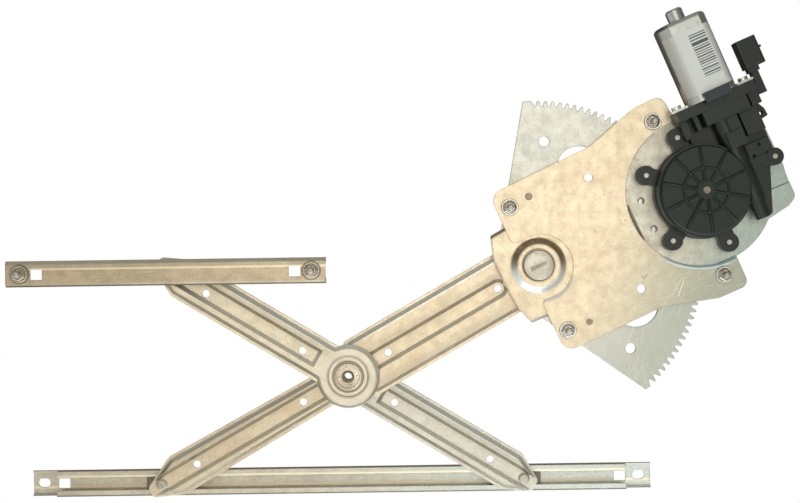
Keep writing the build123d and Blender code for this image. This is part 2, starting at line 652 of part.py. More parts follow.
# Motor and gearbox, drawn in the motor's frame

def output_pinion():
    """Pinion that drives the sector, in one piece with its shaft."""
    pitch = 360 / PINION_TEETH
    offset_teeth = (SECTOR_MIDDLE - MOTOR_BEARING) * SECTOR_TEETH / PINION_TEETH
    gap = MOTOR_BEARING + 180 - offset_teeth - MOTOR_TILT
    centres = [gap + pitch / 2 + pitch * k for k in range(PINION_TEETH)]
    points = tooth_ring(PINION_R, PINION_TEETH, PINION_SHIFT, BACKLASH, centres)
    face = make_face(Polyline(*points, close=True))
    gear = slab(face, SECTOR_BACK - 0.8, SECTOR_FRONT + 0.4)
    shoulder = COVER_TOP_H - 4.3
    gear += disc(SHAFT_R + 2, SECTOR_FRONT, shoulder)
    return gear + disc(SHAFT_END_R, shoulder, COVER_TOP_H + 0.6)


def worm_wheel():
    """Wheel on the output shaft, hollowed around its rim for the worm."""
    throat = 5.9
    nearest = WORM_OFFSET - throat
    return turned_profile([
        (SHAFT_R + 2, WORM_H - 9), (HUB_OF_WHEEL, WORM_H - 9), (HUB_OF_WHEEL, WORM_H - 3),
        (WHEEL_R - 6, WORM_H - 3), (WHEEL_R - 6, WORM_H - 5), (WHEEL_R, WORM_H - 5), (nearest, WORM_H),
        (WHEEL_R, WORM_H + 4),
        (WHEEL_R - 6, WORM_H + 4), (WHEEL_R - 6, WORM_H - 0.5), (HUB_OF_WHEEL, WORM_H - 0.5),
        (HUB_OF_WHEEL, WORM_H + 2.5), (SHAFT_R + 2, WORM_H + 2.5)])


def wheel_damper():
    """Rubber disc between the wheel's web and its hub."""
    return disc(WHEEL_R - 7, WORM_H - 0.5, WORM_H + 2.0) - disc(HUB_OF_WHEEL, 0, COVER_TOP_H)


def along_can(shape, a):
    """Turn a piece drawn up its own axis to lie along the can, starting a from the wheel."""
    return Plane(origin=(WORM_OFFSET, a, WORM_H), x_dir=(1, 0, 0), z_dir=(0, 1, 0)).location * shape


def can_section(shrink):
    """Section of the flattened can."""
    return Circle(CAN_WIDTH / 2 - shrink) & Rectangle(CAN_WIDTH, CAN_THICK - 2 * shrink)


def motor_can():
    """Drawn steel can with a bearing nub at its closed end."""
    length = CAN_END - CAN_START
    body = slab(can_section(0), 0, length)
    body = fillet(body.edges().group_by(Axis.Z)[-1], 3.5)
    body += disc(NUB_R, length - 1, length + NUB_LENGTH)
    body = chamfer(body.edges().group_by(Axis.Z)[-1], 1.5)
    body -= slab(can_section(CAN_WALL), -1, length - CAN_WALL)
    body -= disc(NUB_R - CAN_WALL, length - 5, length + NUB_LENGTH - CAN_WALL)
    return along_can(body, CAN_START)


def can_bush():
    """Plain bearing in the nub."""
    start = CAN_END + 2.0
    ring = disc(NUB_R - CAN_WALL, 0, 6.0) - disc(2.5 + RUN_CLEAR, -1, 7)
    return along_can(ring, start)


def magnets():
    """Two curved magnets on the can's round sides."""
    outer = CAN_WIDTH / 2 - CAN_WALL
    ring = disc(outer, 0, 44) - disc(outer - 4, -1, 45)
    arcs = [ring & Pos(way * 20, 0, 22) * Box(16, 26, 50) for way in (1, -1)]
    return along_can(Compound([Compound(arc.solids()) for arc in arcs]), CAN_START + 14)


def can_flange():
    """Steel flange at the can's open end, with an ear for each screw."""
    face = Rectangle(FLANGE_SPAN, 15.0) + can_section(-1.5)
    for way in (1, -1):
        face -= Pos(way * FLANGE_SCREWS, 0) * Circle(2.2)
    face -= can_section(CAN_WALL)
    return along_can(slab(face, 0, FLANGE_T), CAN_START - FLANGE_T)


def flange_screws():
    """Screws that hold the can's flange to the housing."""
    screws = []
    for way in (1, -1):
        at = (way * FLANGE_SCREWS, 0)
        screws.append(disc(2.2, -9.0, FLANGE_T, at) + disc(4.2, FLANGE_T, FLANGE_T + 3.0, at))
    return along_can(Compound(screws), CAN_START - FLANGE_T)


def brush_holder():
    """Moulded plate in the can's mouth, around the commutator."""
    face = can_section(CAN_WALL + 0.2) - Circle(11.5)
    return along_can(slab(face, 0, 6.0), CAN_START)


def armature_shaft():
    """Shaft through the motor, with the worm at its free end."""
    start = -34.0
    length = CAN_END + NUB_LENGTH - CAN_WALL - 1.0 - start
    shaft = turned_profile([
        (0, 0), (2.4, 0), (2.5, 0.4), (2.5, 16), (5.2, 17), (5.2, 51), (SHAFT_R - 1.0, 52),
        (SHAFT_R - 1.0, length - 9), (2.5, length - 8.6), (2.5, length - 0.5), (2.0, length), (0, length)])
    return along_can(shaft, start)


def armature_core():
    """Stack of slotted laminations."""
    slot = 360 / 10
    face = Circle(16.0)
    for k in range(10):
        face -= Rot(0, 0, slot * k) * Pos(14.0, 0) * Rectangle(6.0, 2.0)
    face -= Circle(SHAFT_R - 1.0)
    return along_can(slab(face, 0, 36.0), CAN_START + 18)


def windings():
    """Copper end turns at both ends of the core."""
    ring = Circle(13.5) - Circle(SHAFT_R - 1.0)
    turns = [slab(ring, -4.5, 0), slab(ring, 36.0, 41.0)]
    return along_can(Compound([t.solids()[0] for t in turns]), CAN_START + 18)


def commutator():
    """Copper segments under the brushes."""
    face = Circle(10.5) - Circle(SHAFT_R - 1.0)
    return along_can(slab(face, 0, 10.0), CAN_START + 2.0)


def gear_housing():
    """Moulded gear case: round well, worm tube, screw lugs and the block under the can."""
    foot = Circle(CASE_R)
    for x, y in LUG_PLACES[:4]:
        direction = math.degrees(math.atan2(y, x))
        reach = math.hypot(x, y)
        neck = Rot(0, 0, direction) * Pos(reach / 2, 0) * Rectangle(reach, 1.7 * LUG_R)
        foot += neck + Pos(x, y) * Circle(LUG_R)
    body = slab(foot, BASE_BACK, CASE_FOOT_H)
    body += disc(CASE_R - 1.0, CASE_FOOT_H, COVER_TOP_H - COVER_DEPTH)
    body += slab(outline(CASE_SIDE), 1.0, 9.0)
    for left, right, start, end, low, high in CASE_BLOCKS:
        block = Pos((left + right) / 2, (start + end) / 2) * Rectangle(right - left, end - start)
        body += slab(block, low, high)
    body += slab(Pos(*LUG_PLACES[4]) * Circle(LUG_R - 0.8), BASE_BACK, CASE_FOOT_H + 3)
    body += along_can(disc(TUBE_R, 0, 74.0), -25.0)
    body += along_can(turned_profile([(0, 0), (6.0, 0), (7.2, 17), (0, 17)]), -41.0)
    # Seat for the cover, hollow for the wheel, bore for the worm, and the commutator's well
    body -= disc(COVER_R, COVER_TOP_H - COVER_DEPTH, COVER_TOP_H + 20)
    body -= disc(WHEEL_R + 1.2, 2.0, COVER_TOP_H + 4)
    body -= disc(SHAFT_R + 2 + RUN_CLEAR, BASE_BACK - 1, 3)
    body -= along_can(disc(5.8, 0, 80.0), -18.5)
    body -= along_can(disc(2.5 + RUN_CLEAR, 0, 40.0), -35.0)
    body -= along_can(disc(12.0, 0, 24.0), CAN_START - 12.0)
    body -= disc(EAR_HOLE[2], -5, 20, EAR_HOLE[:2])
    for x, y, low in CASE_PITS:
        body -= disc(PIT_R, low, 20, (x, y))
    for x, y in LUG_PLACES:
        body -= disc(LUG_SCREW_R, -5, 20, (x, y))
    for way in (1, -1):
        body -= along_can(disc(2.2, -12.0, 1.0, (way * FLANGE_SCREWS, 0)), CAN_START - FLANGE_T)
    return body


def gear_cover():
    """Round cover of the gear case, with ten spokes, a ring and a hub."""
    low = COVER_TOP_H - COVER_DEPTH
    cap = slab(Circle(COVER_R), low, COVER_TOP_H - 1.2)
    cap = chamfer(cap.edges().group_by(Axis.Z)[-1], 1.3)
    cap -= disc(COVER_R - 3.0, low - 1, COVER_TOP_H - 1.2 - COVER_T)
    cap += disc(8.0, COVER_TOP_H - 4.0, COVER_TOP_H)
    ring = Circle(19.4) - Circle(18.2)
    cap += slab(ring, COVER_TOP_H - 2.0, COVER_TOP_H - 0.1)
    for k in range(SPOKES):
        spoke = Rot(0, 0, 360 / SPOKES * k + SPOKE_TURN) * Pos(21.5, 0) * Rectangle(29.0, 1.2)
        cap += slab(spoke, COVER_TOP_H - 2.0, COVER_TOP_H - 0.1)
    return cap - disc(SHAFT_END_R + RUN_CLEAR, 0, COVER_TOP_H + 2)


def housing_screws():
    """Screws through the housing's lugs into the motor bracket."""
    screws = []
    for x, y in LUG_PLACES:
        top = CASE_FOOT_H + (3.0 if (x, y) == LUG_PLACES[4] else 0.0)
        screws.append(disc(LUG_SCREW_R, BASE_BACK, top + 0.4, (x, y)))
    return Compound(screws)


def connector_shell():
    """Open socket beside the can, on a short neck."""
    across, along, high = CONNECTOR
    box = Pos(0, 0, along / 2) * Box(across, high, along)
    box = fillet(box.edges().filter_by(Axis.Z), 2.0)
    box -= Pos(0, 0, along / 2 + 5.0) * Box(across - 2 * CONNECTOR_WALL, high - 2 * CONNECTOR_WALL, along)
    box += Pos(across / 2 + 0.9, 0, along - 10.5) * Box(3.6, 4.0, 2.0)
    reach = CONNECTOR_START - NECK_START
    box += Pos(-NECK_SHIFT, 0, -reach / 2) * Box(NECK_WIDTH, 9.0, reach)
    box += Pos(-NECK_SHIFT, 0, -2.0) * Box(NECK_WIDTH + 3.4, 11.0, 4.0)
    return along_can(Pos(NECK + NECK_SHIFT - WORM_OFFSET, 0, 0) * box, CONNECTOR_START)


def connector_terminals():
    """Two flat pins in the socket."""
    middle = NECK + NECK_SHIFT - WORM_OFFSET
    pins = [Pos(middle + way * 3.5, 0, 5.0 + 6.0) * Box(2.8, 0.8, 12.0) for way in (1, -1)]
    return along_can(Compound(pins), CONNECTOR_START)


def can_clip():
    """Moulded clip that hooks over the can's flange, seated on the gear case and on the can."""
    low, high = CASE_BLOCKS[0][5] - WORM_H, CAN_THICK / 2 + CAN_WALL + CLIP_RISE
    clip = Pos(CLIP_SHIFT, -(low + high) / 2, CLIP_LENGTH / 2) * Box(CLIP_WIDTH, high - low, CLIP_LENGTH)
    mouth = CAN_START - CLIP_START
    clip -= slab(can_section(-CAN_WALL - 0.1), mouth - FLANGE_T - 0.1, mouth + 0.1)
    clip -= slab(can_section(0), mouth - 0.1, CLIP_LENGTH + 1)
    return along_can(clip, CLIP_START)


def can_label():
    """Plain label round the can's front."""
    length = LABEL_END - LABEL_START
    left, right = LABEL_SIDES
    sheet = slab(can_section(-LABEL_T) - can_section(0), 0, length)
    front = Pos((left + right) / 2, -CAN_THICK / 2, length / 2) * Box(right - left, CAN_THICK - 6, length)
    return along_can(sheet & front, LABEL_START)


def main():
    """Write every piece of the regulator."""
    os.makedirs("parts", exist_ok=True)
    save("base_plate", FRONT, base_plate())
    save("pivot_bracket", FRONT, pivot_bracket())
    save("motor_bracket", FRONT, motor_bracket())
    save("motor_bracket_rivets", FRONT, motor_bracket_rivets())
    save("base_studs", FRONT, Compound([stud(at, BASE_BACK, 0) for at in BASE_STUDS]))
    save("base_nuts", FRONT, Compound([flange_nut(at, 0) for at in BASE_STUDS]))
    export_step(fixed_channel(), "parts/fixed_channel.step")
    web_back = CHANNEL_FRONT - RAIL_T
    places = [(x, CHANNEL_Z) for x in CHANNEL_STUDS]
    save("channel_studs", FRONT, Compound([stud(at, web_back, CHANNEL_FRONT) for at in places]))
    save("channel_nuts", FRONT, Compound([flange_nut(at, CHANNEL_FRONT) for at in places]))
    export_step(glass_rail(), "parts/glass_rail.step")

    save("sector_gear", FRONT, sector_gear())
    save("sector_rivets", FRONT, sector_rivets())
    save("lift_arm", LIFT, lift_arm())
    save("pivot_pin", FRONT, pivot_pin())
    rail_tip = RAIL_BACK + RAIL_T + 1.0
    save("lift_rail_pin", frame_at(PIN_A, 0), rail_pin(LIFT_BAND - ARM_RISE, rail_tip))
    save("rear_shoe_left", frame_at(PIN_A, 0), rear_shoe())

    save("equaliser_upper_arm", CROSS_UP, equaliser_upper_arm())
    save("equaliser_lower_arm", CROSS_DOWN, equaliser_lower_arm())
    save("centre_rivet", frame_at(CENTRE, 0), centre_rivet())
    save("equaliser_rail_pin", frame_at(PIN_D, 0), rail_pin(REAR_BAND - ARM_RISE, rail_tip))
    save("rear_shoe_right", frame_at(PIN_D, 0), rear_shoe())
    save("equaliser_channel_pin", frame_at(PIN_B, 0), channel_pin())
    save("front_shoe", frame_at(PIN_B, 0), front_shoe())

    motor_pieces = (
        output_pinion, worm_wheel, wheel_damper, motor_can, can_bush, magnets, can_flange, flange_screws,
        brush_holder, armature_shaft, armature_core, windings, commutator, gear_housing, gear_cover,
        housing_screws, connector_shell, connector_terminals, can_clip, can_label)
    for piece in motor_pieces:
        save(piece.__name__, MOTOR_FRAME, piece())


main()
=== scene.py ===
import math

import bmesh
import bpy
from bpy.props import FloatProperty, FloatVectorProperty, IntProperty, PointerProperty
from mathutils import Matrix, Vector


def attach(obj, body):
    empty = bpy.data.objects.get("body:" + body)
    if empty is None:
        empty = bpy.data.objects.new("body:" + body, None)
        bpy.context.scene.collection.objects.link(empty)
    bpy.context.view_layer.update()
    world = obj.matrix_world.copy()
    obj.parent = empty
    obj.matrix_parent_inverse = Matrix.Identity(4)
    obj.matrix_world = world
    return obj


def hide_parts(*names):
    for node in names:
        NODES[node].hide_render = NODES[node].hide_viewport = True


bl_info = {
    "name": "Cross-arm window regulator",
    "version": (1, 0, 0),
    "blender": (4, 5, 0),
    "location": "View3D > Sidebar > Regulator",
    "description": "Finishes and fine pieces of a cross-arm electric window regulator",
    "category": "Object",
}

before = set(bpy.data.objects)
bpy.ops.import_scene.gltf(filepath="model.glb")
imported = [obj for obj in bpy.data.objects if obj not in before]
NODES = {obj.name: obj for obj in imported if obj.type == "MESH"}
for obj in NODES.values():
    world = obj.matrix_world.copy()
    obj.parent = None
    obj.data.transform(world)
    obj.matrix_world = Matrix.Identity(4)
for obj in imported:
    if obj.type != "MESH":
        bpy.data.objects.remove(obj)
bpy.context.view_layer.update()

# Places that the model's source has too: X and Z of the front view, in millimetres, and degrees
LIFT_ANGLE = 29.5
CROSS_ANGLE = 31.365
CENTRE = (-163.366, -92.428)
MOTOR = (138.187, 61.121)
MOTOR_TILT = 23.0
ARC_R = 63.2
NOTCH_CENTRE = (2.0, -1.0)
NOTCH_R = 27.6
COVER_TOP_H = 26.0
SPOKES = 10
SPOKE_TURN = 3.2
CHANNEL_FRONT = 11.5
CHANNEL_ENDS = (-452.0, -178.0)
CHANNEL_STUDS = ((-438.5, -1.3), (-192.8, -1.3))
BASE_STUDS = ((-23.9, 49.7), (98.7, 121.0), (24.1, -55.5), (157.5, -10.0))
BASE_DIMPLES = (((-7.6, 58.7), 2.6), ((42.6, -48.3), 2.0))
PIN_SEAT = (0.0, 0.0)
PIN_R = 13.0
PIN_TOP = 3.7

# Sizes of the fine pieces drawn here, in millimetres
NUT_HEIGHT = 4.6
NUT_BORE = 4.2
FLANGE_H = 0.8
HEAD_R = 6.5
SHANK_R = 2.9
THREAD_R = 3.0
THREAD_ROOT = 2.62
THREAD_SPAN = (5.4, 12.4)
STAKE_CIRCLE = 7.7
RIB_ROOT = (6.5, 36.3)
RIB_HALF = 1.5

# Stage and label, in metres, with the lens in millimetres
BAR_PITCH = 0.0021
LENS = 63.53
CAMERA_X = -0.1177
CAMERA_Z = 0.0135
AIM = (-0.1, 0.0, -0.03)
FLOOR_Z = -0.62

# Points closer than WELD become one, and edges that turn by more than SHARP_ANGLE get a bevel
WELD = 1e-4
SHARP_ANGLE = math.radians(30.0)


# Placing: pieces are drawn in millimetres with their height towards the viewer

def frame_at(point, degrees):
    """Matrix from a drawing frame of the front view, in millimetres, to the row frame, in metres."""
    c, d = math.cos(math.radians(degrees)), math.sin(math.radians(degrees))
    turn = Matrix(((c, -d, 0, point[0]), (0, 0, -1, 0), (d, c, 0, point[1]), (0, 0, 0, 1)))
    return Matrix.Scale(0.001, 4) @ turn


def beside(place, angle, along, across):
    """Point of the front view beside a slanted line."""
    c, d = math.cos(math.radians(angle)), math.sin(math.radians(angle))
    return (place[0] + along * c - across * d, place[1] + along * d + across * c)


FRONT = frame_at((0, 0), 0)
MOTOR_FRAME = frame_at(MOTOR, MOTOR_TILT)


# Shader maths

class Value:
    """A socket whose arithmetic adds Math nodes."""

    def __init__(self, shader, socket):
        self.shader = shader
        self.socket = socket

    def _math(self, operation, *inputs):
        node = self.shader.node("ShaderNodeMath", {"operation": operation}, dict(enumerate(inputs)))
        return Value(self.shader, node.outputs[0])

    def __add__(self, other):
        return self._math("ADD", self, other)

    def __radd__(self, other):
        return self._math("ADD", other, self)

    def __sub__(self, other):
        return self._math("SUBTRACT", self, other)

    def __rsub__(self, other):
        return self._math("SUBTRACT", other, self)

    def __mul__(self, other):
        return self._math("MULTIPLY", self, other)

    def __rmul__(self, other):
        return self._math("MULTIPLY", other, self)

    def __abs__(self):
        return self._math("ABSOLUTE", self)

    def most(self, other):
        """The higher of two values."""
        return self._math("MAXIMUM", self, other)

    def wave(self):
        """Sine of the value in radians."""
        return self._math("SINE", self)

    def root(self):
        """Square root."""
        return self._math("SQRT", self)

    def step(self, low, high):
        """0 below low and 1 above high, with a smooth ramp between them."""
        node = self.shader.node("ShaderNodeMapRange", {"interpolation_type": "SMOOTHSTEP"},
                                {"Value": self, "From Min": low, "From Max": high})
        return Value(self.shader, node.outputs["Result"])


class Nodes:
    """A node tree whose patterns read one set of coordinates."""

    def __init__(self, tree, coordinates):
        self.tree = tree
        place = self.node("ShaderNodeTexCoord", {}, {})
        self.place = Value(self, place.outputs[coordinates])
        self._xyz = None

    def node(self, kind, settings, inputs):
        """New node with its settings, then its sockets' values or links."""
        made = self.tree.nodes.new(kind)
        for key, value in settings.items():
            setattr(made, key, value)
        for key, value in inputs.items():
            self.feed(made.inputs[key], value)
        return made

    def feed(self, socket, value):
        """Link a value to a socket, or write a constant on it."""
        if isinstance(value, Value):
            self.tree.links.new(value.socket, socket)
        elif socket.type == "RGBA":
            socket.default_value = (*value, 1.0)
        else:
            socket.default_value = value

    def axes(self):
        """X, Y and Z of the object coordinates."""
        if self._xyz is None:
            split = self.node("ShaderNodeSeparateXYZ", {}, {0: self.place})
            self._xyz = tuple(Value(self, out) for out in split.outputs)
        return self._xyz

    def turned(self, degrees, stretch):
        """Object coordinates whose patterns run long in one direction of the front view."""
        node = self.node("ShaderNodeMapping", {"vector_type": "TEXTURE"}, {
            "Vector": self.place, "Rotation": (0.0, -math.radians(degrees), 0.0), "Scale": (stretch, 1.0, 1.0)})
        return Value(self, node.outputs[0])

    def from_point(self, place):
        """Millimetres to the right of a point of the front view, and above it."""
        x, _, z = self.axes()
        return x * 1000.0 - place[0], z * 1000.0 - place[1]

    def distance(self, place):
        """Millimetres from a point of the front view."""
        right, up = self.from_point(place)
        return (right * right + up * up).root()

    def spot(self, place, radius, fade):
        """1 inside a round spot of the front view, and 0 outside it."""
        return self.distance(place).step(radius + fade, radius)

    def line(self, start, end, half):
        """1 on a straight mark of the front view, and 0 beside it."""
        length = math.dist(start, end)
        c, d = (end[0] - start[0]) / length, (end[1] - start[1]) / length
        right, up = self.from_point(start)
        along = right * c + up * d
        across = abs(up * c - right * d)
        return across.step(half * 1.6, half * 0.6) * along.step(-half, half) * along.step(length + half, length - half)

    def fold_shade(self, place, radius):
        """1 on walls outside a circle of the front view, for painted shade."""
        return self.walls()[0] * (1.0 - self.spot(place, radius, 1.0))

    def ring(self, place, radius, half, between=None, under=None):
        """1 on a ring of the front view, between two values of x and under one of z, in metres, if they are given."""
        x, _, z = self.axes()
        ring = abs(self.distance(place) - radius).step(half, half * 0.25)
        if between:
            first, last = between
            ring = ring * x.step(first - 0.008, first + 0.008) * x.step(last + 0.008, last - 0.008)
        if under is not None:
            ring = ring * z.step(under + 0.007, under - 0.007)
        return ring

    def bulge_shade(self, place, angle, trough, edge):
        """Painted shade across a pressed arm: darker towards the trough's upper side and towards the lower edge."""
        right, up = self.from_point(place)
        c, d = math.cos(math.radians(angle)), math.sin(math.radians(angle))
        across = up * c - right * d
        upper = across.step(trough + 9.0, trough) * across.step(trough - 9.0, trough)
        lower = across.step(-trough - 3.0, -edge + 0.5) * across.step(-edge - 1.0, -edge)
        return upper.most(lower)

    def motor_axes(self):
        """Metres across the worm and along the can, from the pinion's axis."""
        x, _, z = self.axes()
        c, d = math.cos(math.radians(MOTOR_TILT)), math.sin(math.radians(MOTOR_TILT))
        right, up = x - MOTOR[0] / 1000, z - MOTOR[1] / 1000
        return right * c + up * d, up * c - right * d

    def walls(self):
        """How far a face leans from the front plane, 0 to 1, and how far it faces upwards, 0 to 1."""
        normal = self.node("ShaderNodeNewGeometry", {}, {}).outputs["Normal"]
        own = self.node("ShaderNodeVectorTransform",
                        {"vector_type": "NORMAL", "convert_from": "WORLD", "convert_to": "OBJECT"},
                        {0: Value(self, normal)})
        split = self.node("ShaderNodeSeparateXYZ", {}, {0: Value(self, own.outputs[0])})
        return abs(Value(self, split.outputs[1])).step(0.93, 0.75), Value(self, split.outputs[2]).step(-0.35, 0.35)

    def noise(self, scale, detail=3.0, roughness=0.55, where=None):
        """Noise between 0 and 1."""
        node = self.node("ShaderNodeTexNoise", {}, {
            "Vector": where or self.place, "Scale": scale, "Detail": detail, "Roughness": roughness})
        return Value(self, node.outputs["Fac"])

    def cells(self, scale):
        """Distance to the nearest point of a Voronoi pattern."""
        node = self.node("ShaderNodeTexVoronoi", {}, {"Vector": self.place, "Scale": scale})
        return Value(self, node.outputs["Distance"])

    def mix(self, factor, low, high):
        """Colour between two colours."""
        node = self.node("ShaderNodeMix", {"data_type": "RGBA"}, {})
        for key, value in ((0, factor), (6, low), (7, high)):
            self.feed(node.inputs[key], value)
        return Value(self, node.outputs[2])


class Shader(Nodes):
    """A node material on Object coordinates."""

    def __init__(self, name):
        self.material = bpy.data.materials.new(name)
        self.material.use_nodes = True
        super().__init__(self.material.node_tree, "Object")
        self.principled = next(n for n in self.tree.nodes if n.type == "BSDF_PRINCIPLED")

    def surface(self, colour, roughness, metallic=0.0, constants=None):
        """Feed the main sockets, and write the constants on theirs."""
        self.feed(self.principled.inputs["Base Color"], colour)
        self.feed(self.principled.inputs["Roughness"], roughness)
        self.feed(self.principled.inputs["Metallic"], metallic)
        for key, value in (constants or {}).items():
            self.feed(self.principled.inputs[key], value)

    def relief(self, height, strength, distance, round_edges=0.0):
        """Bump, over edges rounded by a radius."""
        bump = self.node("ShaderNodeBump", {}, {"Height": height, "Strength": strength, "Distance": distance})
        if round_edges:
            edge = self.node("ShaderNodeBevel", {"samples": 4}, {"Radius": round_edges})
            self.tree.links.new(edge.outputs[0], bump.inputs["Normal"])
        self.tree.links.new(bump.outputs[0], self.principled.inputs["Normal"])


def scaled(colour, factor):
    """A colour times a factor."""
    return tuple(c * factor for c in colour)


def steel(name, colour, worn, metallic=0.85, roughness=0.40, grain=0.0, edge=0.0010, painted_light_falloff=None, cloud=1.0, spots=(),
          relief=0.22, pocks=0.4, specks=0.42, wall=None, marks=()):
    """Plated sheet: cloudy patches, drawn grain, fine specks, small scratches and softened edges, with painted light
    and shade: dark spots in the dimples, a tone that falls off towards the right and down, and wall tones by which way
    a wall faces.
    """
    sh = Shader(name)
    patch = sh.noise(34.0, 3.0, 0.55)
    cloudy = sh.noise(120.0, 5.0, 0.62)
    fine = sh.noise(1100.0, 3.0, 0.65)
    drawn = sh.noise(620.0, 3.0, 0.6, sh.turned(grain, 8.0))
    scratch = sh.noise(110.0, 2.0, 0.5, sh.turned(grain + 38.0, 14.0))
    cut = abs(scratch - 0.5).step(0.004, 0.0)
    spread = (patch * 0.45 + cloudy * 0.55).step(0.36, 0.64)
    base = sh.mix(spread * cloud, colour, worn)
    # Painted shade: the colour turns towards a second tone to the right and down, where less light falls.
    if painted_light_falloff:
        x, _, z = sh.axes()
        base = sh.mix((x - z * 0.35).step(*painted_light_falloff[1]), base, painted_light_falloff[0])
    # Painted light and shade: a wall takes the first tone of the pair where it faces upwards and the second where it
    # faces downwards.
    if wall:
        lean, upward = sh.walls()
        base = sh.mix(lean, base, sh.mix(upward, wall[1], wall[0]))
    base = sh.mix(fine.step(0.46, 0.70) * specks, base, scaled(worn, 0.60))
    base = sh.mix(drawn.step(0.48, 0.68) * (0.22 * colour[1]), base, (1.0, 0.97, 0.90))
    pock = (1.0 - sh.cells(240.0).step(0.10, 0.22)) * sh.noise(45.0, 2.0, 0.5).step(0.52, 0.62)
    base = sh.mix(pock * pocks, base, scaled(worn, 0.4))
    # Painted shade: a dark spot in each dimple.
    for place, radius in spots:
        base = sh.mix(sh.spot(place, radius, 0.9) * 0.75, base, (0.16, 0.125, 0.085))
    for shape, amount, tone in marks:
        base = sh.mix(getattr(sh, shape[0])(*shape[1:]) * amount, base, tone)
    base = sh.mix(cut * 0.2, base, tuple(min(1.0, c * 1.25) for c in colour))
    rough = roughness + (cloudy - 0.5) * 0.24 + (fine - 0.5) * 0.16 + (drawn - 0.5) * 0.14
    sh.surface(base, rough, metallic)
    sh.relief(fine * 0.4 + drawn * 0.6 + cloudy * 0.35 - cut * 0.15, relief, 0.0004, edge)
    return sh.material


def moulded(name, colour, roughness, edge=0.0004, shine=0.5, dust=None):
    """Moulded plastic: fine grain, faint flow marks, softened edges, and dust in a second colour."""
    sh = Shader(name)
    fine = sh.noise(1500.0, 3.0, 0.6)
    flow = sh.noise(60.0, 4.0, 0.6)
    base = sh.mix(flow.step(0.38, 0.64) * 0.5, colour, tuple(c * 1.5 + 0.003 for c in colour))
    if dust:
        base = sh.mix((flow * 0.6 + fine * 0.4).step(0.54, 0.72) * 0.35, base, dust)
    rough = roughness + (fine - 0.5) * 0.22 + (flow - 0.5) * 0.2
    sh.surface(base, rough, 0.0, {"Specular IOR Level": shine})
    sh.relief(fine * 0.5 + flow * 0.5, 0.16, 0.0003, edge)
    return sh.material


def film(name, colour, ink):
    """Plain printed label: white film, a column of plain bars across the can, slight waviness, and painted shade
    towards both sides.
    """
    sh = Shader(name)
    across, along = sh.motor_axes()
    waves = sh.noise(50.0, 3.0, 0.5)
    fine = sh.noise(1400.0, 2.0, 0.5)
    width = sh.node("ShaderNodeTexNoise", {"noise_dimensions": "1D"}, {"W": along * 700.0, "Scale": 1.0, "Detail": 0.0})
    uneven = (Value(sh, width.outputs["Fac"]) - 0.5) * 1.7
    bars = ((along * (math.tau / BAR_PITCH)).wave() * 0.5 + uneven).step(0.0, 0.12)
    column = across.step(0.0352, 0.0356) * across.step(0.0502, 0.0498)
    length = along.step(0.0848, 0.0852) * along.step(0.1232, 0.1228)
    base = sh.mix(waves.step(0.3, 0.7) * 0.25, colour, scaled(colour, 0.88))
    # Painted shade: brownish towards the left side and bluish grey towards the right, as over a round can.
    base = sh.mix(across.step(0.027, 0.0185) * 0.55, base, (0.42, 0.36, 0.28))
    base = sh.mix(across.step(0.050, 0.0585) * 0.60, base, (0.36, 0.41, 0.41))
    base = sh.mix(bars * column * length * 0.9, base, ink)
    sh.surface(base, 0.34 + (waves - 0.5) * 0.2 + (fine - 0.5) * 0.08, 0.0)
    sh.relief(waves, 0.15, 0.0005, 0.0)
    return sh.material


# Mesh tools

def finish_piece(name, bm, matrix, body, material, smooth=35.0):
    """Turn a drawn mesh into a piece in the row frame that rides on a body."""
    bmesh.ops.remove_doubles(bm, verts=bm.verts, dist=WELD)
    bmesh.ops.recalc_face_normals(bm, faces=bm.faces)
    bmesh.ops.transform(bm, matrix=matrix, verts=bm.verts)
    mesh = bpy.data.meshes.new(name)
    bm.to_mesh(mesh)
    bm.free()
    piece = bpy.data.objects.new(name, mesh)
    bpy.context.scene.collection.objects.link(piece)
    mesh.materials.append(material)
    mesh.shade_smooth()
    mesh.set_sharp_from_angle(angle=math.radians(smooth))
    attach(piece, body)
    return piece


def add_part(bm, part, at=(0.0, 0.0), seat=0.0, turn=0.0):
    """Close a drawn part, turn it outside out and add it to a piece at its place."""
    bmesh.ops.remove_doubles(part, verts=part.verts, dist=WELD)
    bmesh.ops.recalc_face_normals(part, faces=part.faces)
    place = Matrix.Translation((at[0], at[1], seat)) @ Matrix.Rotation(math.radians(turn), 4, "Z")
    bmesh.ops.transform(part, matrix=place, verts=part.verts)
    mesh = bpy.data.meshes.new("part")
    part.to_mesh(mesh)
    part.free()
    bm.from_mesh(mesh)
    bpy.data.meshes.remove(mesh)


def spin_wall(part, points, steps):
    """Turn points of radius and height about the height axis, inside a part that is being drawn."""
    verts = [part.verts.new((r, 0.0, h)) for r, h in points]
    edges = [part.edges.new(pair) for pair in zip(verts, verts[1:])]
    bmesh.ops.spin(part, geom=verts + edges, cent=(0, 0, 0), axis=(0, 0, 1), angle=math.tau, steps=steps,
                   use_merge=True)


def lathe(bm, points, steps, at=(0.0, 0.0), seat=0.0):
    """Add a turned part to a piece."""
    part = bmesh.new()
    spin_wall(part, points, steps)
    add_part(bm, part, at, seat)


def pitted_face(part, radius, height, steps, pits):
    """Round face of an empty part, with pits sunk in it; each corner of a pit says how deep its floor lies there."""
    rim = bmesh.ops.create_circle(part, cap_ends=False, radius=radius, segments=steps)["verts"]
    bmesh.ops.translate(part, vec=(0, 0, height), verts=rim)
    edges = list(part.edges)
    for corners in pits:
        top = [part.verts.new((x, y, height)) for x, y, depth in corners]
        loop = [part.edges.new(pair) for pair in zip(top, top[1:] + top[:1])]
        floor = part.faces.new([part.verts.new((x, y, height - depth)) for x, y, depth in corners])
        bmesh.ops.bridge_loops(part, edges=loop + list(floor.edges))
        edges += loop
    bmesh.ops.triangle_fill(part, use_beauty=True, use_dissolve=False, edges=edges, normal=(0, 0, 1))


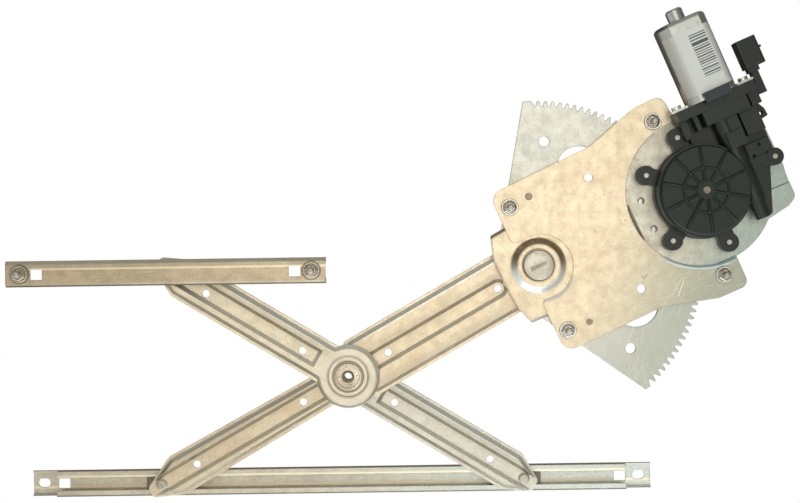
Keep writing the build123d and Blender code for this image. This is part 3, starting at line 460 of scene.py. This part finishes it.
def soften(bm, width):
    """Round the sharp edges of a part."""
    bm.normal_update()
    sharp = [e for e in bm.edges if e.is_manifold and e.calc_face_angle(0.0) > SHARP_ANGLE]
    bmesh.ops.bevel(bm, geom=sharp, offset=width, segments=2, affect="EDGES", profile=0.5, clamp_overlap=True,
                    material=-1)


# Sizes and colours

class RegulatorColours(bpy.types.PropertyGroup):
    """Colours of the finishes."""

    plate: FloatVectorProperty(name="Plates and arms", description="Zinc on the plates and arms", subtype="COLOR",
                               default=(0.87, 0.735, 0.52), min=0.0, max=1.0)
    plate_worn: FloatVectorProperty(name="Plates, darker", description="Darker mottle on the plates and arms",
                                    subtype="COLOR", default=(0.74, 0.60, 0.41), min=0.0, max=1.0)
    grey: FloatVectorProperty(name="Sector", description="Grey sheet of the sector", subtype="COLOR",
                              default=(0.70, 0.685, 0.60), min=0.0, max=1.0)
    # The upper arm's zinc is a lighter copy and the lower arm's a greyer copy of one plating: painted light on the
    # upper left, painted shade on the lower right.
    cross: FloatVectorProperty(name="Equaliser, upper arm", description="Zinc on the upper equaliser arm",
                               subtype="COLOR", default=(1.0, 0.87, 0.64), min=0.0, max=1.0)
    cross_low: FloatVectorProperty(name="Equaliser, lower arm", description="Zinc on the lower equaliser arm",
                                   subtype="COLOR", default=(0.84, 0.78, 0.65), min=0.0, max=1.0)
    rail: FloatVectorProperty(name="Fixed channel", description="Dull zinc on the fixed channel", subtype="COLOR",
                              default=(0.67, 0.545, 0.37), min=0.0, max=1.0)
    plastic: FloatVectorProperty(name="Gear case", description="Moulded gear case", subtype="COLOR",
                                 default=(0.0080, 0.0136, 0.0086), min=0.0, max=1.0)
    can: FloatVectorProperty(name="Motor can", description="Drawn steel can", subtype="COLOR",
                             default=(0.47, 0.475, 0.44), min=0.0, max=1.0)
    label: FloatVectorProperty(name="Label", description="Plain label on the can", subtype="COLOR",
                               default=(0.90, 0.91, 0.88), min=0.0, max=1.0)


class RegulatorSizes(bpy.types.PropertyGroup):
    """Sizes of the fine pieces."""

    thread_pitch: FloatProperty(name="Thread pitch", description="Pitch of the studs' thread, in millimetres",
                                default=1.0, min=0.5, max=1.5)
    nut_flats: FloatProperty(name="Nut across flats", description="Width of the nuts, in millimetres", default=10.0,
                             min=8.0, max=11.0)
    lathe_steps: IntProperty(name="Round steps", description="Steps round a turned piece", default=48, min=24, max=96)


class RegulatorStage(bpy.types.PropertyGroup):
    """Camera and light."""

    distance: FloatProperty(name="Camera distance", description="From the base plate's front face", default=1.2,
                            min=0.6, max=5.0, unit="LENGTH")
    roll: FloatProperty(name="Camera roll", description="Turn of the camera about its line of sight",
                        default=math.radians(-0.8), subtype="ANGLE")
    key: FloatProperty(name="Front light", description="Power of the large light by the camera", default=2.4,
                       min=0.0, subtype="POWER")
    glow: FloatProperty(name="Floor light", description="Power of the light that the floor throws upwards", default=2.2,
                        min=0.0, subtype="POWER")
    fill: FloatProperty(name="Fill light", description="Power of the weak light in front of the channel",
                        default=0.55, min=0.0, subtype="POWER")
    low: FloatProperty(name="Low light", description="Power of the large light below the front", default=6.0,
                       min=0.0, subtype="POWER")
    world: FloatProperty(name="World", description="Strength of the even light", default=0.85, min=0.0, max=1.0)


# Tones of walls that face upwards and downwards, which are painted light and painted shade, and of the marks: painted
# shade and painted highlights that stand in for bends and shadows, and scratches
PRESSED_WALL_LIGHT_AND_SHADE = ((0.86, 0.85, 0.76), (0.30, 0.25, 0.17))
DOMED_WALL_LIGHT_AND_SHADE = ((0.34, 0.27, 0.17), (0.86, 0.92, 0.95))
FOLDED_WALL_LIGHT_AND_SHADE = ((0.70, 0.66, 0.54), (0.20, 0.17, 0.12))
SHADE = (0.42, 0.36, 0.27)
GLEAM = (0.97, 1.0, 0.97)
TICK = (0.25, 0.21, 0.16)
PALE = (1.0, 0.98, 0.82)
WARM_PAINTED_HIGHLIGHT = (1.0, 0.87, 0.62)

MATERIALS = {}
WORN_BY = {
    "plate": ("base_plate",),
    "bracket": ("motor_bracket",),
    "boss": ("pivot_bracket", "pivot_pin"),
    "lift": ("lift_arm",),
    "upper_arm": ("equaliser_upper_arm",),
    "lower_arm": ("equaliser_lower_arm",),
    "sector": ("sector_gear",),
    "channel": ("fixed_channel",),
    "glass_rail": ("glass_rail",),
    "thread": ("base_studs", "channel_studs", "housing_screws", "lift_rail_pin", "equaliser_rail_pin",
               "equaliser_channel_pin"),
    "bright": ("base_nuts", "channel_nuts", "motor_bracket_rivets", "sector_rivets", "flange_screws",
               "centre_rivet"),
    "can": ("motor_can", "can_flange", "armature_core"),
    "shaft": ("output_pinion", "armature_shaft"),
    "case": ("gear_housing", "connector_shell", "brush_holder"),
    "cover": ("gear_cover",),
    "clip": ("can_clip",),
    "pale_plastic": ("rear_shoe_left", "rear_shoe_right", "front_shoe", "worm_wheel"),
    "label": ("can_label",),
    "copper": ("windings", "commutator"),
    "bronze": ("can_bush", "connector_terminals"),
    "ferrite": ("magnets",),
    "rubber": ("wheel_damper",),
}


def dress(material, names):
    """Give CAD nodes a material."""
    for name in names:
        slots = NODES[name].material_slots
        if not slots:
            NODES[name].data.materials.append(material)
        for slot in slots:
            slot.material = material


class REGULATOR_OT_finishes(bpy.types.Operator):
    """Make every finish and put it on the model's solids"""

    bl_idname = "regulator.finishes"
    bl_label = "Finishes"

    def execute(self, context):
        colours = context.scene.regulator_colours
        for made in (self.plates(colours), self.arms(colours), self.rails(colours), self.fasteners(),
                     self.motor(colours), self.gearing(colours)):
            MATERIALS.update(made)
        for finish, names in WORN_BY.items():
            dress(MATERIALS[finish], names)
        return {"FINISHED"}

    def plates(self, colours):
        """Base plate, the two brackets and the toothed sector."""
        scratches = [(("line", (87.3, -10.2), (89.4, -12.3), 0.35), 0.8, TICK),
                     (("line", (89.4, -12.3), (92.3, -8.6), 0.35), 0.8, TICK),
                     (("line", (124.0, -11.5), (118.3, -27.7), 0.35), 0.5, PALE),
                     (("line", (121.6, -12.0), (113.0, -27.0), 0.3), 0.4, PALE)]
        # Painted shade and painted highlight: a dark blue and a pale blue line along the motor bracket's arc, bluish
        # shade along the notch round the boss, and a shadow ring round each nut.
        rim_shade_and_highlight = [(("ring", MOTOR, ARC_R + 0.9, 1.5, (0.106, 0.170), 0.03), 0.85, (0.16, 0.29, 0.34)),
                (("ring", MOTOR, ARC_R + 2.5, 1.0, (0.108, 0.166), 0.03), 0.5, (0.75, 0.90, 0.95)),
                (("ring", NOTCH_CENTRE, NOTCH_R + 1.3, 2.0, None, -0.012), 0.7, (0.30, 0.36, 0.39)),
                *((("ring", stud, 7.2, 0.6), 0.7, (0.22, 0.19, 0.14)) for stud in BASE_STUDS)]
        faint = (("line", (115.0, -14.0), (120.0, -29.0), 0.25), 0.22, (1.0, 0.95, 0.85))
        rough_cuts = [(("line", (-35.1, 22.1), (-25.0, 10.5), 0.25), 0.4, TICK),
                      (("line", (-36.0, 12.0), (-27.0, 7.0), 0.25), 0.3, TICK),
                      (("line", (-24.0, -33.0), (-15.7, -44.5), 0.25), 0.4, TICK)]
        return dict(
            plate=steel("zinc_plate", colours.plate, colours.plate_worn, grain=24.0,
                        painted_light_falloff=((0.44, 0.445, 0.36), (0.035, 0.165)), spots=BASE_DIMPLES,
                        marks=[*scratches, *rim_shade_and_highlight, faint]),
            bracket=steel("zinc_bracket", (0.65, 0.62, 0.51), (0.48, 0.45, 0.36), grain=70.0,
                          painted_light_falloff=((0.44, 0.51, 0.455), (0.105, 0.175))),
            # Painted shade: a dark crescent round the pin's upper left rim, and dark fold walls outside the boss.
            boss=steel("zinc_boss", colours.plate, colours.plate_worn, grain=-60.0, edge=0.0032, wall=DOMED_WALL_LIGHT_AND_SHADE,
                       marks=[(("spot", (-0.7, 0.8), 13.9, 0.5), 0.75, (0.22, 0.17, 0.11)),
                              (("fold_shade", PIN_SEAT, 25.0), 0.95, (0.08, 0.068, 0.048)), *rough_cuts]),
            sector=steel("zinc_sector", colours.grey, scaled(colours.grey, 0.86), grain=75.0,
                         painted_light_falloff=((0.50, 0.515, 0.44), (0.0, 0.16))))

    def arms(self, colours):
        """Lift arm and the two equaliser arms."""
        # Painted highlight: a pale line along the arm's upper shoulder.
        shoulder_highlight = (beside(PIN_SEAT, LIFT_ANGLE, -162, 21.0), beside(PIN_SEAT, LIFT_ANGLE, -30, 21.0))
        return dict(
            lift=steel("zinc_lift_arm", colours.plate, colours.plate_worn, grain=LIFT_ANGLE, edge=0.0008,
                       wall=PRESSED_WALL_LIGHT_AND_SHADE, marks=[(("bulge_shade", PIN_SEAT, LIFT_ANGLE, 8.4, 21.5), 0.42, SHADE),
                                            (("line", *shoulder_highlight, 0.7), 0.45, GLEAM)]),
            upper_arm=self.equaliser("zinc_upper_arm", colours.cross, -170, -32),
            lower_arm=self.equaliser("zinc_lower_arm", colours.cross_low, 32, 160))

    def equaliser(self, name, colour, first, last):
        """Finish of one equaliser arm, with painted shade on the bends, a painted highlight along the upper shoulder, a
        greyer disc over the hub, and rings of painted shade round the hub's rim and rivet.
        """
        shoulder_highlight = (beside(CENTRE, -CROSS_ANGLE, first, 12.0), beside(CENTRE, -CROSS_ANGLE, last, 12.0))
        marks = [(("line", *shoulder_highlight, 0.7), 0.45, GLEAM),
                 (("bulge_shade", CENTRE, -CROSS_ANGLE, 8.2, 13.5), 0.4, SHADE),
                 (("spot", CENTRE, 24.5, 1.5), 0.6, (0.86, 0.77, 0.62)),
                 (("ring", CENTRE, 17.4, 1.9), 0.6, (0.36, 0.32, 0.24)),
                 (("ring", CENTRE, 12.9, 1.4), 0.85, (0.20, 0.15, 0.09))]
        return steel(name, colour, scaled(colour, 0.84), metallic=0.6, grain=-CROSS_ANGLE, edge=0.0008,
                     wall=PRESSED_WALL_LIGHT_AND_SHADE, marks=marks)

    def rails(self, colours):
        """Fixed channel and glass rail, with their long bends as lines of painted highlight and painted shade, and
        rings of painted shadow round the channel's nuts.
        """
        left, right = CHANNEL_ENDS
        return dict(
            # Painted shade on the upper bend and under the lower lip, a painted highlight on the ridge, and rings of
            # painted shadow round the nuts.
            channel=steel("zinc_rail", colours.rail, scaled(colours.rail, 0.8), edge=0.0012, wall=FOLDED_WALL_LIGHT_AND_SHADE,
                          marks=[(("line", (left, 7.2), (right, 7.2), 3.2), 0.30, (0.44, 0.42, 0.35)),
                                 (("line", (left + 22.0, 2.7), (right, 2.7), 0.75), 0.75, (1.0, 0.88, 0.62)),
                                 (("line", (left, -11.9), (right, -11.9), 0.8), 0.9, (0.12, 0.09, 0.055)),
                                 *((("ring", stud, 7.6, 1.1), 0.75, (0.13, 0.11, 0.08)) for stud in CHANNEL_STUDS)]),
            # Painted highlights along the lips' edges and painted shade along the bottom edge.
            glass_rail=steel("zinc_glass_rail", (0.78, 0.705, 0.56), (0.60, 0.54, 0.43), edge=0.0012, wall=FOLDED_WALL_LIGHT_AND_SHADE,
                             painted_light_falloff=((0.66, 0.69, 0.62), (-0.22, 0.10)),
                             marks=[(("line", (-418.0, -177.4), (76.0, -177.4), 0.9), 0.8, WARM_PAINTED_HIGHLIGHT),
                                    (("line", (-439.0, -187.6), (97.0, -187.6), 1.0), 0.8, WARM_PAINTED_HIGHLIGHT),
                                    (("line", (-441.0, -194.2), (99.0, -194.2), 0.6), 0.85, (0.14, 0.11, 0.075))]))

    def fasteners(self):
        """Pivot pin, hub rivet, nuts, screws and studs."""
        return dict(
            pin=steel("zinc_pin", (0.70, 0.65, 0.53), (0.54, 0.50, 0.40), grain=80.0),
            # Painted shade: dark rings round the rivet's hole and round its outer edge.
            rivet=steel("zinc_rivet", (0.90, 0.80, 0.63), (0.56, 0.46, 0.32), roughness=0.36, edge=0.0003,
                        marks=[(("ring", CENTRE, 4.4, 1.3), 0.9, (0.09, 0.065, 0.04)),
                               (("ring", CENTRE, 11.6, 0.8), 0.7, (0.18, 0.13, 0.08))]),
            bright=steel("zinc_bright", (0.76, 0.73, 0.66), (0.60, 0.57, 0.50), roughness=0.32, edge=0.0,
                         relief=0.03, pocks=0.1, specks=0.15),
            thread=steel("zinc_thread", (0.60, 0.55, 0.46), (0.46, 0.41, 0.33), metallic=0.7, roughness=0.38,
                         edge=0.0003),
            dull=steel("zinc_dull", (0.76, 0.69, 0.56), (0.56, 0.50, 0.39), metallic=0.8, roughness=0.34,
                       edge=0.0003, relief=0.1, specks=0.2))

    def motor(self, colours):
        """Can, its label and clip, and what the can holds."""
        return dict(
            can=steel("can_steel", colours.can, scaled(colours.can, 0.8), metallic=1.0, roughness=0.30, grain=-67.0,
                      cloud=0.3, relief=0.0, pocks=0.0, specks=0.0, edge=0.0),
            label=film("label_film", colours.label, (0.03, 0.03, 0.035)),
            clip=moulded("clip_plastic", (0.022, 0.032, 0.038), 0.42),
            copper=steel("copper", (0.72, 0.34, 0.17), (0.60, 0.26, 0.12), metallic=1.0, roughness=0.3, edge=0.0),
            bronze=steel("bronze", (0.62, 0.45, 0.25), (0.52, 0.36, 0.18), metallic=1.0, edge=0.0),
            ferrite=moulded("ferrite", (0.05, 0.05, 0.052), 0.6))

    def gearing(self, colours):
        """Gear case and cover, shoes and wheel, damper and the steel of the pinion."""
        return dict(
            case=moulded("case_plastic", colours.plastic, 0.40, edge=0.0007, dust=(0.085, 0.068, 0.042)),
            cover=moulded("cover_plastic", scaled(colours.plastic, 1.7), 0.42, edge=0.0003, shine=0.36,
                          dust=(0.04, 0.042, 0.036)),
            pale_plastic=moulded("shoe_plastic", (0.24, 0.20, 0.145), 0.5),
            rubber=moulded("rubber", (0.02, 0.02, 0.02), 0.7),
            shaft=steel("shaft_steel", (0.22, 0.17, 0.14), (0.17, 0.13, 0.10), roughness=0.3, edge=0.0002))


class REGULATOR_OT_nuts(bpy.types.Operator):
    """Flange nuts with chamfered corners on every stud"""

    bl_idname = "regulator.nuts"
    bl_label = "Flange nuts"

    def execute(self, context):
        sizes = context.scene.regulator_sizes
        rows = (("base_flange_nuts", BASE_STUDS, 0.0, "bright"),
                ("channel_flange_nuts", CHANNEL_STUDS, CHANNEL_FRONT, "dull"))
        for name, places, seat, finish in rows:
            bm = bmesh.new()
            for number, place in enumerate(places):
                self.nut(bm, place, seat, sizes.nut_flats / 2, 17.0 * number + 6.0)
            piece = finish_piece(name, bm, FRONT, "root", MATERIALS[finish])
            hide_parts(name.replace("_flange", ""))
        return {"FINISHED"}

    def nut(self, bm, place, seat, half, turn):
        """One nut: a hexagon with chamfered top corners and a sunk bore, over a sloped flange."""
        corner = half / math.cos(math.pi / 6)
        part = bmesh.new()
        bmesh.ops.create_cone(part, cap_ends=True, segments=6, radius1=corner, radius2=corner, depth=NUT_HEIGHT)
        bmesh.ops.translate(part, vec=(0, 0, FLANGE_H + NUT_HEIGHT / 2), verts=part.verts)
        top = max(part.faces, key=lambda f: f.calc_center_median().z)
        bmesh.ops.inset_region(part, faces=[top], thickness=0.8, depth=0.0)
        bmesh.ops.translate(part, vec=(0, 0, 0.6), verts=top.verts)
        bmesh.ops.inset_region(part, faces=[top], thickness=half - NUT_BORE, depth=0.0)
        bmesh.ops.translate(part, vec=(0, 0, -1.0), verts=top.verts)
        add_part(bm, part, place, seat, turn)
        flange = [(SHANK_R, 0.9), (SHANK_R, 0.0), (7.1, 0.0), (7.1, 1.2), (6.8, 1.6), (6.0, 1.6), (5.3, FLANGE_H),
                  (SHANK_R, FLANGE_H)]
        lathe(bm, flange, 40, place, seat)


class REGULATOR_OT_studs(bpy.types.Operator):
    """Threaded studs with rounded tips"""

    bl_idname = "regulator.studs"
    bl_label = "Studs"

    def execute(self, context):
        sizes = context.scene.regulator_sizes
        rows = (("base_threaded_studs", BASE_STUDS, -2.0, 0.0),
                ("channel_threaded_studs", CHANNEL_STUDS, CHANNEL_FRONT - 1.6, CHANNEL_FRONT))
        for name, places, back, seat in rows:
            bm = bmesh.new()
            for place in places:
                self.stud(bm, place, back, seat, sizes.thread_pitch, sizes.lathe_steps)
            piece = finish_piece(name, bm, FRONT, "root", MATERIALS["thread"], 50.0)
            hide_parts(name.replace("_threaded", ""))
        return {"FINISHED"}

    def stud(self, bm, place, back, seat, pitch, steps):
        """One stud: head, shank, thread ridges and a rounded tip."""
        first, last = THREAD_SPAN
        points = [(0.0, back - 1.5), (HEAD_R - 0.4, back - 1.5), (HEAD_R, back - 1.1), (HEAD_R, back), (SHANK_R, back),
                  (SHANK_R, seat + first)]
        h = seat + first
        while h < seat + last:
            points += [(THREAD_ROOT, h + 0.12 * pitch), (THREAD_R, h + 0.45 * pitch), (THREAD_R, h + 0.62 * pitch)]
            h += pitch
        points += [(2.6, seat + 13.0), (2.35, seat + 13.5), (1.6, seat + 13.85), (0.0, seat + 14.0)]
        lathe(bm, points, steps, place)


class REGULATOR_OT_cover_ribs(bpy.types.Operator):
    """Ribs and ring of the gear case's cover, with sloped sides"""

    bl_idname = "regulator.cover_ribs"
    bl_label = "Cover ribs"

    def execute(self, context):
        bm = bmesh.new()
        foot = COVER_TOP_H - 1.2
        near, far = RIB_ROOT
        for number in range(SPOKES):
            part = bmesh.new()
            face = part.faces.new([part.verts.new((x, y, foot)) for x, y in (
                (near, -RIB_HALF), (far, -RIB_HALF), (far, RIB_HALF), (near, RIB_HALF))])
            raised = bmesh.ops.extrude_face_region(part, geom=[face], use_keep_orig=True)
            top = [v for v in raised["geom"] if isinstance(v, bmesh.types.BMVert)]
            bmesh.ops.translate(part, vec=(0, 0, 1.45), verts=top)
            bmesh.ops.scale(part, vec=(1.0, 0.30, 1.0), verts=top)
            soften(part, 0.18)
            add_part(bm, part, turn=360.0 / SPOKES * number + SPOKE_TURN)
        ring = [(17.5, foot), (18.25, foot + 1.4), (19.35, foot + 1.4), (20.1, foot), (17.5, foot)]
        hub = [(3.6, COVER_TOP_H - 0.3), (3.6, COVER_TOP_H + 0.2), (6.6, COVER_TOP_H + 0.2), (8.4, foot),
               (3.6, COVER_TOP_H - 0.3)]
        lathe(bm, ring, 72)
        lathe(bm, hub, 48)
        finish_piece("cover_ribs", bm, MOTOR_FRAME, "root", MATERIALS["cover"])
        return {"FINISHED"}


class REGULATOR_OT_pivot_pin(bpy.types.Operator):
    """Pivot pin with a wedge-shaped dent and short radial marks in its face"""

    bl_idname = "regulator.pivot_pin"
    bl_label = "Pivot pin"

    def execute(self, context):
        steps = context.scene.regulator_sizes.lathe_steps
        dent = ((-6.8, -0.7, 1.1), (-6.2, -5.0, 0.12), (5.5, 1.1, 0.1), (6.2, 3.7, 0.9))
        marks = [self.mark(angle, near) for angle, near in ((60, 8.6), (69, 7.9), (79, 9.0), (88, 7.6), (98, 8.2),
                                                            (107, 9.2))]
        side = [(PIN_R - 0.6, PIN_TOP), (PIN_R - 0.25, PIN_TOP - 0.15), (PIN_R, PIN_TOP - 0.6), (PIN_R, -4.5),
                (9.5, -4.5), (9.5, -9.5), (PIN_R, -9.5), (PIN_R, -11.3), (PIN_R - 0.9, -11.9), (0.0, -11.9)]
        part = bmesh.new()
        pitted_face(part, PIN_R - 0.6, PIN_TOP, steps, [dent, *marks])
        spin_wall(part, side, steps)
        bm = bmesh.new()
        add_part(bm, part)
        piece = finish_piece("pivot_pin_marked", bm, FRONT, "lift", MATERIALS["pin"])
        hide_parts("pivot_pin")
        return {"FINISHED"}

    def mark(self, angle, near):
        """One narrow radial mark that ends by the rim, with its depth at each corner."""
        far, half = PIN_R - 1.1, 0.22
        corners = ((near, -half, 0.1), (far, -half, 0.5), (far, half, 0.5), (near, half, 0.1))
        return [(*beside(PIN_SEAT, angle, along, across), depth) for along, across, depth in corners]


class REGULATOR_OT_hub_rivet(bpy.types.Operator):
    """Hollow rivet of the hub, with a collar round its hole and four stake marks"""

    bl_idname = "regulator.hub_rivet"
    bl_label = "Hub rivet"

    def execute(self, context):
        steps = context.scene.regulator_sizes.lathe_steps
        bm = bmesh.new()
        profile = [(3.2, -17.8), (3.2, -1.1), (3.6, -0.75), (4.7, -0.75), (5.3, -1.5), (9.3, -1.6), (9.9, -0.9),
                   (11.1, -0.9), (11.7, -1.3), (11.7, -1.8), (9.0, -1.8), (9.0, -16.0), (11.7, -16.0), (10.9, -17.8),
                   (3.2, -17.8)]
        lathe(bm, profile, steps, CENTRE)
        for angle, radius in ((100, 1.25), (2, 1.0), (-74, 1.1), (185, 0.95)):
            stake = [(0.0, -0.95), (radius * 0.5, -1.0), (radius * 0.9, -1.25), (radius, -1.62), (0.0, -1.62)]
            lathe(bm, stake, 12, beside(CENTRE, angle, STAKE_CIRCLE, 0.0))
        piece = finish_piece("hub_rivet", bm, FRONT, "equaliser", MATERIALS["rivet"])
        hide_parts("centre_rivet")
        return {"FINISHED"}


class REGULATOR_OT_stage(bpy.types.Operator):
    """Camera, lights and the white sweep behind the object"""

    bl_idname = "regulator.stage"
    bl_label = "Stage"

    def execute(self, context):
        stage = context.scene.regulator_stage
        self.camera(context, stage)
        self.lights(context, stage)
        self.sweep(context)
        context.scene.view_settings.view_transform = "Standard"
        return {"FINISHED"}

    def camera(self, context, stage):
        """Long lens at the photograph's height and angle."""
        data = bpy.data.cameras.new("camera")
        data.sensor_width = 36.0
        data.lens = LENS
        camera = bpy.data.objects.new("camera", data)
        context.scene.collection.objects.link(camera)
        look = Matrix.Rotation(math.radians(90), 4, "X") @ Matrix.Rotation(stage.roll, 4, "Z")
        camera.matrix_world = Matrix.Translation((CAMERA_X, -stage.distance, CAMERA_Z)) @ look
        context.scene.camera = camera

    def lights(self, context, stage):
        """Large soft lights, all aimed at the middle of the object, and the world round them."""
        rows = (("key", (0.12, -1.30, 0.13), 0.65, stage.key, (1.0, 0.985, 0.95)),
                ("fill", (-0.42, -1.28, -0.02), 0.5, stage.fill, (1.0, 0.95, 0.86)),
                ("low", (0.22, -0.75, -0.80), 0.8, stage.low, (0.86, 0.94, 1.0)),
                ("floor_glow", (-0.10, -0.05, -0.58), 0.7, stage.glow, (0.72, 0.88, 1.0)))
        for name, place, size, power, colour in rows:
            data = bpy.data.lights.new(name, "AREA")
            data.size = size
            data.energy = power
            data.color = colour
            lamp = bpy.data.objects.new(name, data)
            context.scene.collection.objects.link(lamp)
            aim = Vector(AIM) - Vector(place)
            lamp.matrix_world = Matrix.Translation(place) @ aim.to_track_quat("-Z", "Y").to_matrix().to_4x4()
        self.surround(context, stage)

    def surround(self, context, stage):
        """Light from the front and above, strong bluish light from below, less from the right, white to the camera."""
        world = bpy.data.worlds.new("world")
        world.use_nodes = True
        context.scene.world = world
        sky = Nodes(world.node_tree, "Generated")
        background = next(n for n in sky.tree.nodes if n.type == "BACKGROUND")
        x, y, z = sky.axes()
        front = (y * -1.0 + z * -0.25 + x * -0.12).step(0.05, 0.62)
        below = (z * -0.92 + x * -0.35).step(0.45, 0.95)
        colour = sky.mix(front, (0.12, 0.105, 0.08), (0.66, 0.64, 0.58))
        colour = sky.mix((z * 0.95 - y * 0.25).step(0.35, 0.90), colour, (0.52, 0.55, 0.53))
        colour = sky.mix(below, colour, (1.05, 1.22, 1.38))
        colour = sky.mix(x.step(0.02, 0.60) * 0.55, colour, (0.34, 0.40, 0.35))
        path = sky.node("ShaderNodeLightPath", {}, {})
        seen = Value(sky, path.outputs["Is Camera Ray"])
        sky.feed(background.inputs["Color"], sky.mix(seen, colour, (1.0, 1.0, 1.0)))
        sky.feed(background.inputs["Strength"], seen.most(stage.world))

    def sweep(self, context):
        """White wall and floor in one curved sheet, lit evenly to the camera and to gloss."""
        bm = bmesh.new()
        verts = [bm.verts.new((-3.0, y, FLOOR_Z + rise)) for y, rise in ((-1.5, 0.0), (0.3, 0.0), (0.55, 0.25),
                                                                         (0.55, 0.40))]
        edges = [bm.edges.new(pair) for pair in zip(verts, verts[1:])]
        bmesh.ops.bevel(bm, geom=[verts[1], verts[2]], offset=0.12, segments=6, affect="VERTICES", profile=0.5,
                        clamp_overlap=True, material=-1)
        made = bmesh.ops.extrude_edge_only(bm, edges=list(bm.edges))
        moved = [v for v in made["geom"] if isinstance(v, bmesh.types.BMVert)]
        bmesh.ops.translate(bm, vec=(6.0, 0, 0), verts=moved)
        mesh = bpy.data.meshes.new("sweep")
        bm.to_mesh(mesh)
        bm.free()
        mesh.shade_smooth()
        sweep = bpy.data.objects.new("sweep", mesh)
        context.scene.collection.objects.link(sweep)
        sh = Shader("sweep_white")
        sh.surface((0.9, 0.9, 0.9), 0.9)
        path = sh.node("ShaderNodeLightPath", {}, {})
        seen = Value(sh, path.outputs["Is Camera Ray"]).most(Value(sh, path.outputs["Is Glossy Ray"]))
        seen = seen.most(Value(sh, path.outputs["Is Transmission Ray"]))
        glow = sh.node("ShaderNodeEmission", {}, {"Color": (1.0, 1.0, 1.0), "Strength": 1.0})
        blend = sh.node("ShaderNodeMixShader", {}, {0: seen})
        sh.tree.links.new(sh.principled.outputs[0], blend.inputs[1])
        sh.tree.links.new(glow.outputs[0], blend.inputs[2])
        output = next(n for n in sh.tree.nodes if n.type == "OUTPUT_MATERIAL")
        sh.tree.links.new(blend.outputs[0], output.inputs[0])
        mesh.materials.append(sh.material)


class REGULATOR_PT_panel(bpy.types.Panel):
    """Lists the steps and their values"""

    bl_idname = "REGULATOR_PT_panel"
    bl_label = "Window regulator"
    bl_space_type = "VIEW_3D"
    bl_region_type = "UI"
    bl_category = "Regulator"

    def draw(self, context):
        scene = context.scene
        for group in (scene.regulator_colours, scene.regulator_sizes, scene.regulator_stage):
            for key in group.__annotations__:
                self.layout.prop(group, key)
        for step in STEPS:
            self.layout.operator(step.bl_idname)


STEPS = (REGULATOR_OT_finishes, REGULATOR_OT_nuts, REGULATOR_OT_studs, REGULATOR_OT_cover_ribs,
         REGULATOR_OT_pivot_pin, REGULATOR_OT_hub_rivet, REGULATOR_OT_stage)
CLASSES = (RegulatorColours, RegulatorSizes, RegulatorStage, *STEPS, REGULATOR_PT_panel)


def register():
    """Add the classes and the scene's values."""
    for cls in CLASSES:
        bpy.utils.register_class(cls)
    bpy.types.Scene.regulator_colours = PointerProperty(type=RegulatorColours)
    bpy.types.Scene.regulator_sizes = PointerProperty(type=RegulatorSizes)
    bpy.types.Scene.regulator_stage = PointerProperty(type=RegulatorStage)


def unregister():
    """Remove what register added."""
    del bpy.types.Scene.regulator_stage
    del bpy.types.Scene.regulator_sizes
    del bpy.types.Scene.regulator_colours
    for cls in reversed(CLASSES):
        bpy.utils.unregister_class(cls)


def main():
    """Build everything."""
    register()
    for step in STEPS:
        group, name = step.bl_idname.split(".")
        getattr(getattr(bpy.ops, group), name)()


if __name__ == "__main__":
    main()
